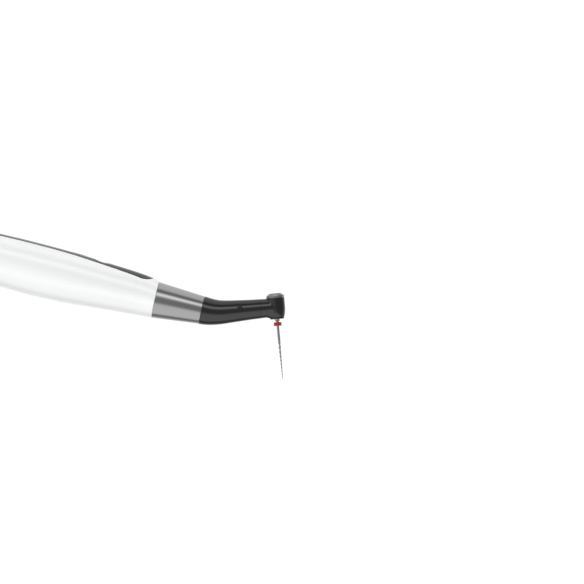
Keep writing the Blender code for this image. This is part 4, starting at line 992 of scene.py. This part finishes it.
turned("depth_stop", [(0.68, -6.78), (0.78, -6.66, 0.1), (1.2, -6.62, 0.5), (1.58, -6.66, 0.15), (1.69, -6.8, 0.15), (1.69, -7.41, 0.02), (1.665, -7.45, 0.02), (1.69, -7.49, 0.02), (1.69, -8.1, 0.15),
                      (1.58, -8.24, 0.15), (1.2, -8.25, 0.4), (0.78, -8.24, 0.1), (0.68, -8.12)], MAT["red"], "stop", HEADZ, n=96, replaces="silicone_stop", radius=0.05,
       sharp=60, wobble=stop_wave, rn=5)

# ------------------------------------------------------------------ file
turned("latch_shank", [(0, 4.25), (1.0, 4.25, 0.15), (1.175, 4.05, 0.08), (1.175, 3.95), (0.88, 3.9), (0.88, 3.5), (1.175, 3.45), (1.175, -5.75, 0.5), (0.86, -6.15, 0.35), (0.7, -6.25, 0.1),
                       (0.64, -6.25, 0.0), (0.64, -3.6), (0, -3.6)], MAT["shank"], "chuck", HEADZ, n=80, replaces="file_shank", closed=False, radius=0.03, rn=6)
SH_END, TIP = -6.25, -31.25
FLUTE = SH_END - 9.0
zs, rows = [], []
NFL = 30
for i in range(331):
    t = i / 330
    zs.append(FLUTE + 0.6 + (TIP + 0.25 - FLUTE - 0.6) * t)


def file_ring(z):
    t = np.clip((FLUTE - z) / (FLUTE - TIP), 0, 1)
    r = 0.58 + (0.155 - 0.58) * t
    run = 1 - math.exp(-max(0.0, FLUTE + 0.6 - z) / 0.7)
    tw = 2 * math.pi * (3.3 * t + 1.45 * t * t)
    out = []
    for k in range(NFL):
        a = 2 * math.pi * k / NFL
        # two cutting lips with hollow flutes between them
        w = math.cos(a - tw)
        lip = abs(w) ** 1.6
        rr = r * (1 - run * 0.46 * (1 - lip))
        out.append((rr * math.cos(a), rr * math.sin(a), z))
    return out


file_rings = [[(0.56 * math.cos(2 * math.pi * k / NFL), 0.56 * math.sin(2 * math.pi * k / NFL), -3.8) for k in range(NFL)],
              [(0.58 * math.cos(2 * math.pi * k / NFL), 0.58 * math.sin(2 * math.pi * k / NFL), -3.9) for k in range(NFL)]]
file_rings += [file_ring(z) for z in np.linspace(SH_END, FLUTE + 0.7, 14)]
file_rings += [file_ring(z) for z in zs]
tipr = file_rings[-1]
for s, dz in ((0.8, 0.08), (0.5, 0.17), (0.12, 0.24)):
    file_rings.append([(x * s, y * s, zs[-1] - dz) for x, y, _ in tipr])
rings_mesh("rotary_file", file_rings, MAT["niti"], "chuck", "file_blade", axes=HEADZ, sharp=60)

# ------------------------------------------------------------------ camera, light, floor
SHIFT_X, SHIFT_Z = 174.97, 16.09
ROLL = math.radians(12.4)
LENS, VIEW_W = 150.0, 252.8
DIST = VIEW_W * LENS / 36.0
cam_data = bpy.data.cameras.new("camera")
cam_data.lens, cam_data.sensor_width = LENS, 36.0
cam_data.clip_start, cam_data.clip_end = 0.05, 20
cam = bpy.data.objects.new("camera", cam_data)
bpy.context.scene.collection.objects.link(cam)
right = Vector((math.cos(ROLL), 0, math.sin(ROLL)))
up = Vector((-math.sin(ROLL), 0, math.cos(ROLL)))
rot = Matrix((right, up, Vector((0, -1, 0)))).transposed()
cam.matrix_world = Matrix.Translation(Vector((SHIFT_X, -DIST, SHIFT_Z)) * MM) @ rot.to_4x4()
bpy.context.scene.camera = cam

floor_mat = finish_material("floor_pale", (0.93, 0.93, 0.93), 0.85, var=0.01, rough_var=0.03, scale=12, fine=300, bump=0.02, bump_dist=0.0004, emission=((1, 1, 1), 0.8))
bm = bmesh.new()
bmesh.ops.create_grid(bm, x_segments=40, y_segments=40, size=12.0)
fm = bpy.data.meshes.new("floor")
bm.to_mesh(fm)
bm.free()
floor = bpy.data.objects.new("floor", fm)
floor.location = (0.09, 0, -0.95)
floor.visible_glossy = floor.visible_diffuse = floor.visible_shadow = floor.visible_transmission = False
bpy.context.scene.collection.objects.link(floor)
fm.materials.append(floor_mat)

# the room: a soft studio seen only in reflections and as light; bands run along the grip
world = bpy.data.worlds.new("studio")
bpy.context.scene.world = world
world.use_nodes = True
nt = world.node_tree
nt.nodes.clear()
N, L = nt.nodes, nt.links
tc = N.new("ShaderNodeTexCoord")
sep = N.new("ShaderNodeSeparateXYZ")
L.new(tc.outputs["Generated"], sep.inputs[0])
neg = N.new("ShaderNodeMath")
neg.operation = "MULTIPLY"
neg.inputs[1].default_value = -1
L.new(sep.outputs["Y"], neg.inputs[0])
at = N.new("ShaderNodeMath")
at.operation = "ARCTAN2"
L.new(sep.outputs["Z"], at.inputs[0])
L.new(neg.outputs[0], at.inputs[1])
mr = N.new("ShaderNodeMapRange")
mr.inputs["From Min"].default_value, mr.inputs["From Max"].default_value = -math.pi, math.pi
L.new(at.outputs[0], mr.inputs["Value"])
ramp = N.new("ShaderNodeValToRGB")
BANDS = [(-180, 1.6), (-155, 1.35), (-142, 1.0), (-130, 0.6), (-120, 0.32), (-112, 0.24), (-99, 0.24), (-92, 0.68), (-84, 0.78), (-32, 0.76), (-22, 0.68), (-14, 0.36), (-8, 0.25), (18, 0.235), (26, 0.42),
         (37, 1.25), (43, 1.3), (50, 0.7), (56, 0.22), (70, 0.18), (80, 0.55), (92, 0.7), (130, 0.72), (160, 0.9), (180, 1.6)]
el = ramp.color_ramp.elements
while len(el) > 1:
    el.remove(el[-1])
for i, (deg, v) in enumerate(BANDS):
    e = el[0] if i == 0 else el.new((deg + 180) / 360)
    e.position = (deg + 180) / 360
    e.color = (v / 2, v / 2, v / 2, 1)
L.new(mr.outputs["Result"], ramp.inputs["Fac"])
dbl = N.new("ShaderNodeMix")
dbl.data_type = "RGBA"
dbl.blend_type = "MULTIPLY"
dbl.inputs["Factor"].default_value = 1.0
dbl.inputs["B"].default_value = (2, 2, 2, 1)
L.new(ramp.outputs["Color"], dbl.inputs["A"])
def fade(axis, lo, hi):
    m = N.new("ShaderNodeMapRange")
    m.interpolation_type = "SMOOTHSTEP"
    m.inputs["From Min"].default_value, m.inputs["From Max"].default_value = lo, hi
    L.new(sep.outputs[axis], m.inputs["Value"])
    return m.outputs["Result"]


def times(*f):
    out = f[0]
    for g in f[1:]:
        m = N.new("ShaderNodeMath")
        m.operation = "MULTIPLY"
        L.new(out, m.inputs[0])
        L.new(g, m.inputs[1])
        out = m.outputs[0]
    return out


# a dark flag ahead of the head, and a dim card level with it on the handle side
mixa0 = N.new("ShaderNodeMix")
mixa0.data_type = "RGBA"
mixa0.inputs["B"].default_value = (0.235, 0.235, 0.24, 1)
L.new(times(fade("X", 0.22, 0.5), fade("Z", -0.55, -0.2), fade("Y", 0.75, -0.1)), mixa0.inputs["Factor"])
L.new(dbl.outputs["Result"], mixa0.inputs["A"])
mixa = N.new("ShaderNodeMix")
mixa.data_type = "RGBA"
mixa.inputs["B"].default_value = (0.42, 0.42, 0.425, 1)
L.new(times(fade("X", 0.1, -0.3), fade("Z", 0.36, 0.12), fade("Z", -0.6, -0.3), fade("Y", 0.5, 0.0)), mixa.inputs["Factor"])
L.new(mixa0.outputs["Result"], mixa.inputs["A"])
mixu = N.new("ShaderNodeMix")                      # a dim card under and behind the neck
mixu.data_type = "RGBA"
mixu.inputs["B"].default_value = (0.3, 0.3, 0.305, 1)
L.new(times(fade("X", 0.12, 0.3), fade("Y", 0.2, 0.6), fade("Z", 0.1, -0.1)), mixu.inputs["Factor"])
L.new(mixa.outputs["Result"], mixu.inputs["A"])
behind = N.new("ShaderNodeMapRange")
behind.interpolation_type = "SMOOTHSTEP"
behind.inputs["From Min"].default_value, behind.inputs["From Max"].default_value = -0.4, -0.95
L.new(sep.outputs["X"], behind.inputs["Value"])
mixs = N.new("ShaderNodeMix")
mixs.data_type = "RGBA"
mixs.inputs["B"].default_value = (0.5, 0.5, 0.5, 1)
L.new(behind.outputs["Result"], mixs.inputs["Factor"])
L.new(mixu.outputs["Result"], mixs.inputs["A"])
bg1 = N.new("ShaderNodeBackground")
L.new(mixs.outputs["Result"], bg1.inputs["Color"])
bg1.inputs["Strength"].default_value = 1.0
bg2 = N.new("ShaderNodeBackground")
bg2.inputs["Color"].default_value = (1, 1, 1, 1)
bg2.inputs["Strength"].default_value = 1.05
lp = N.new("ShaderNodeLightPath")
mx = N.new("ShaderNodeMixShader")
L.new(lp.outputs["Is Camera Ray"], mx.inputs[0])
L.new(bg1.outputs[0], mx.inputs[1])
L.new(bg2.outputs[0], mx.inputs[2])
out = N.new("ShaderNodeOutputWorld")
L.new(mx.outputs[0], out.inputs["Surface"])


def softbox(name, loc, target, size, power):
    d = bpy.data.lights.new(name, "AREA")
    d.shape, d.size, d.size_y, d.energy = "RECTANGLE", size[0], size[1], power
    o = bpy.data.objects.new(name, d)
    bpy.context.scene.collection.objects.link(o)
    o.location = Vector(loc)
    o.rotation_euler = (Vector(target) - Vector(loc)).to_track_quat("-Z", "Y").to_euler()
    o.visible_camera = False
    o.visible_glossy = False
    return o


CEN = (0.09, 0, 0)
softbox("overhead", (0.05, 0.1, 1.2), CEN, (1.6, 1.2), 11)
softbox("front_fill", (0.09, -1.3, -0.45), CEN, (1.6, 1.0), 13)
softbox("rear_fill", (0.09, 1.3, -0.45), CEN, (1.6, 1.0), 8)
bpy.context.scene.view_settings.view_transform = "Standard"
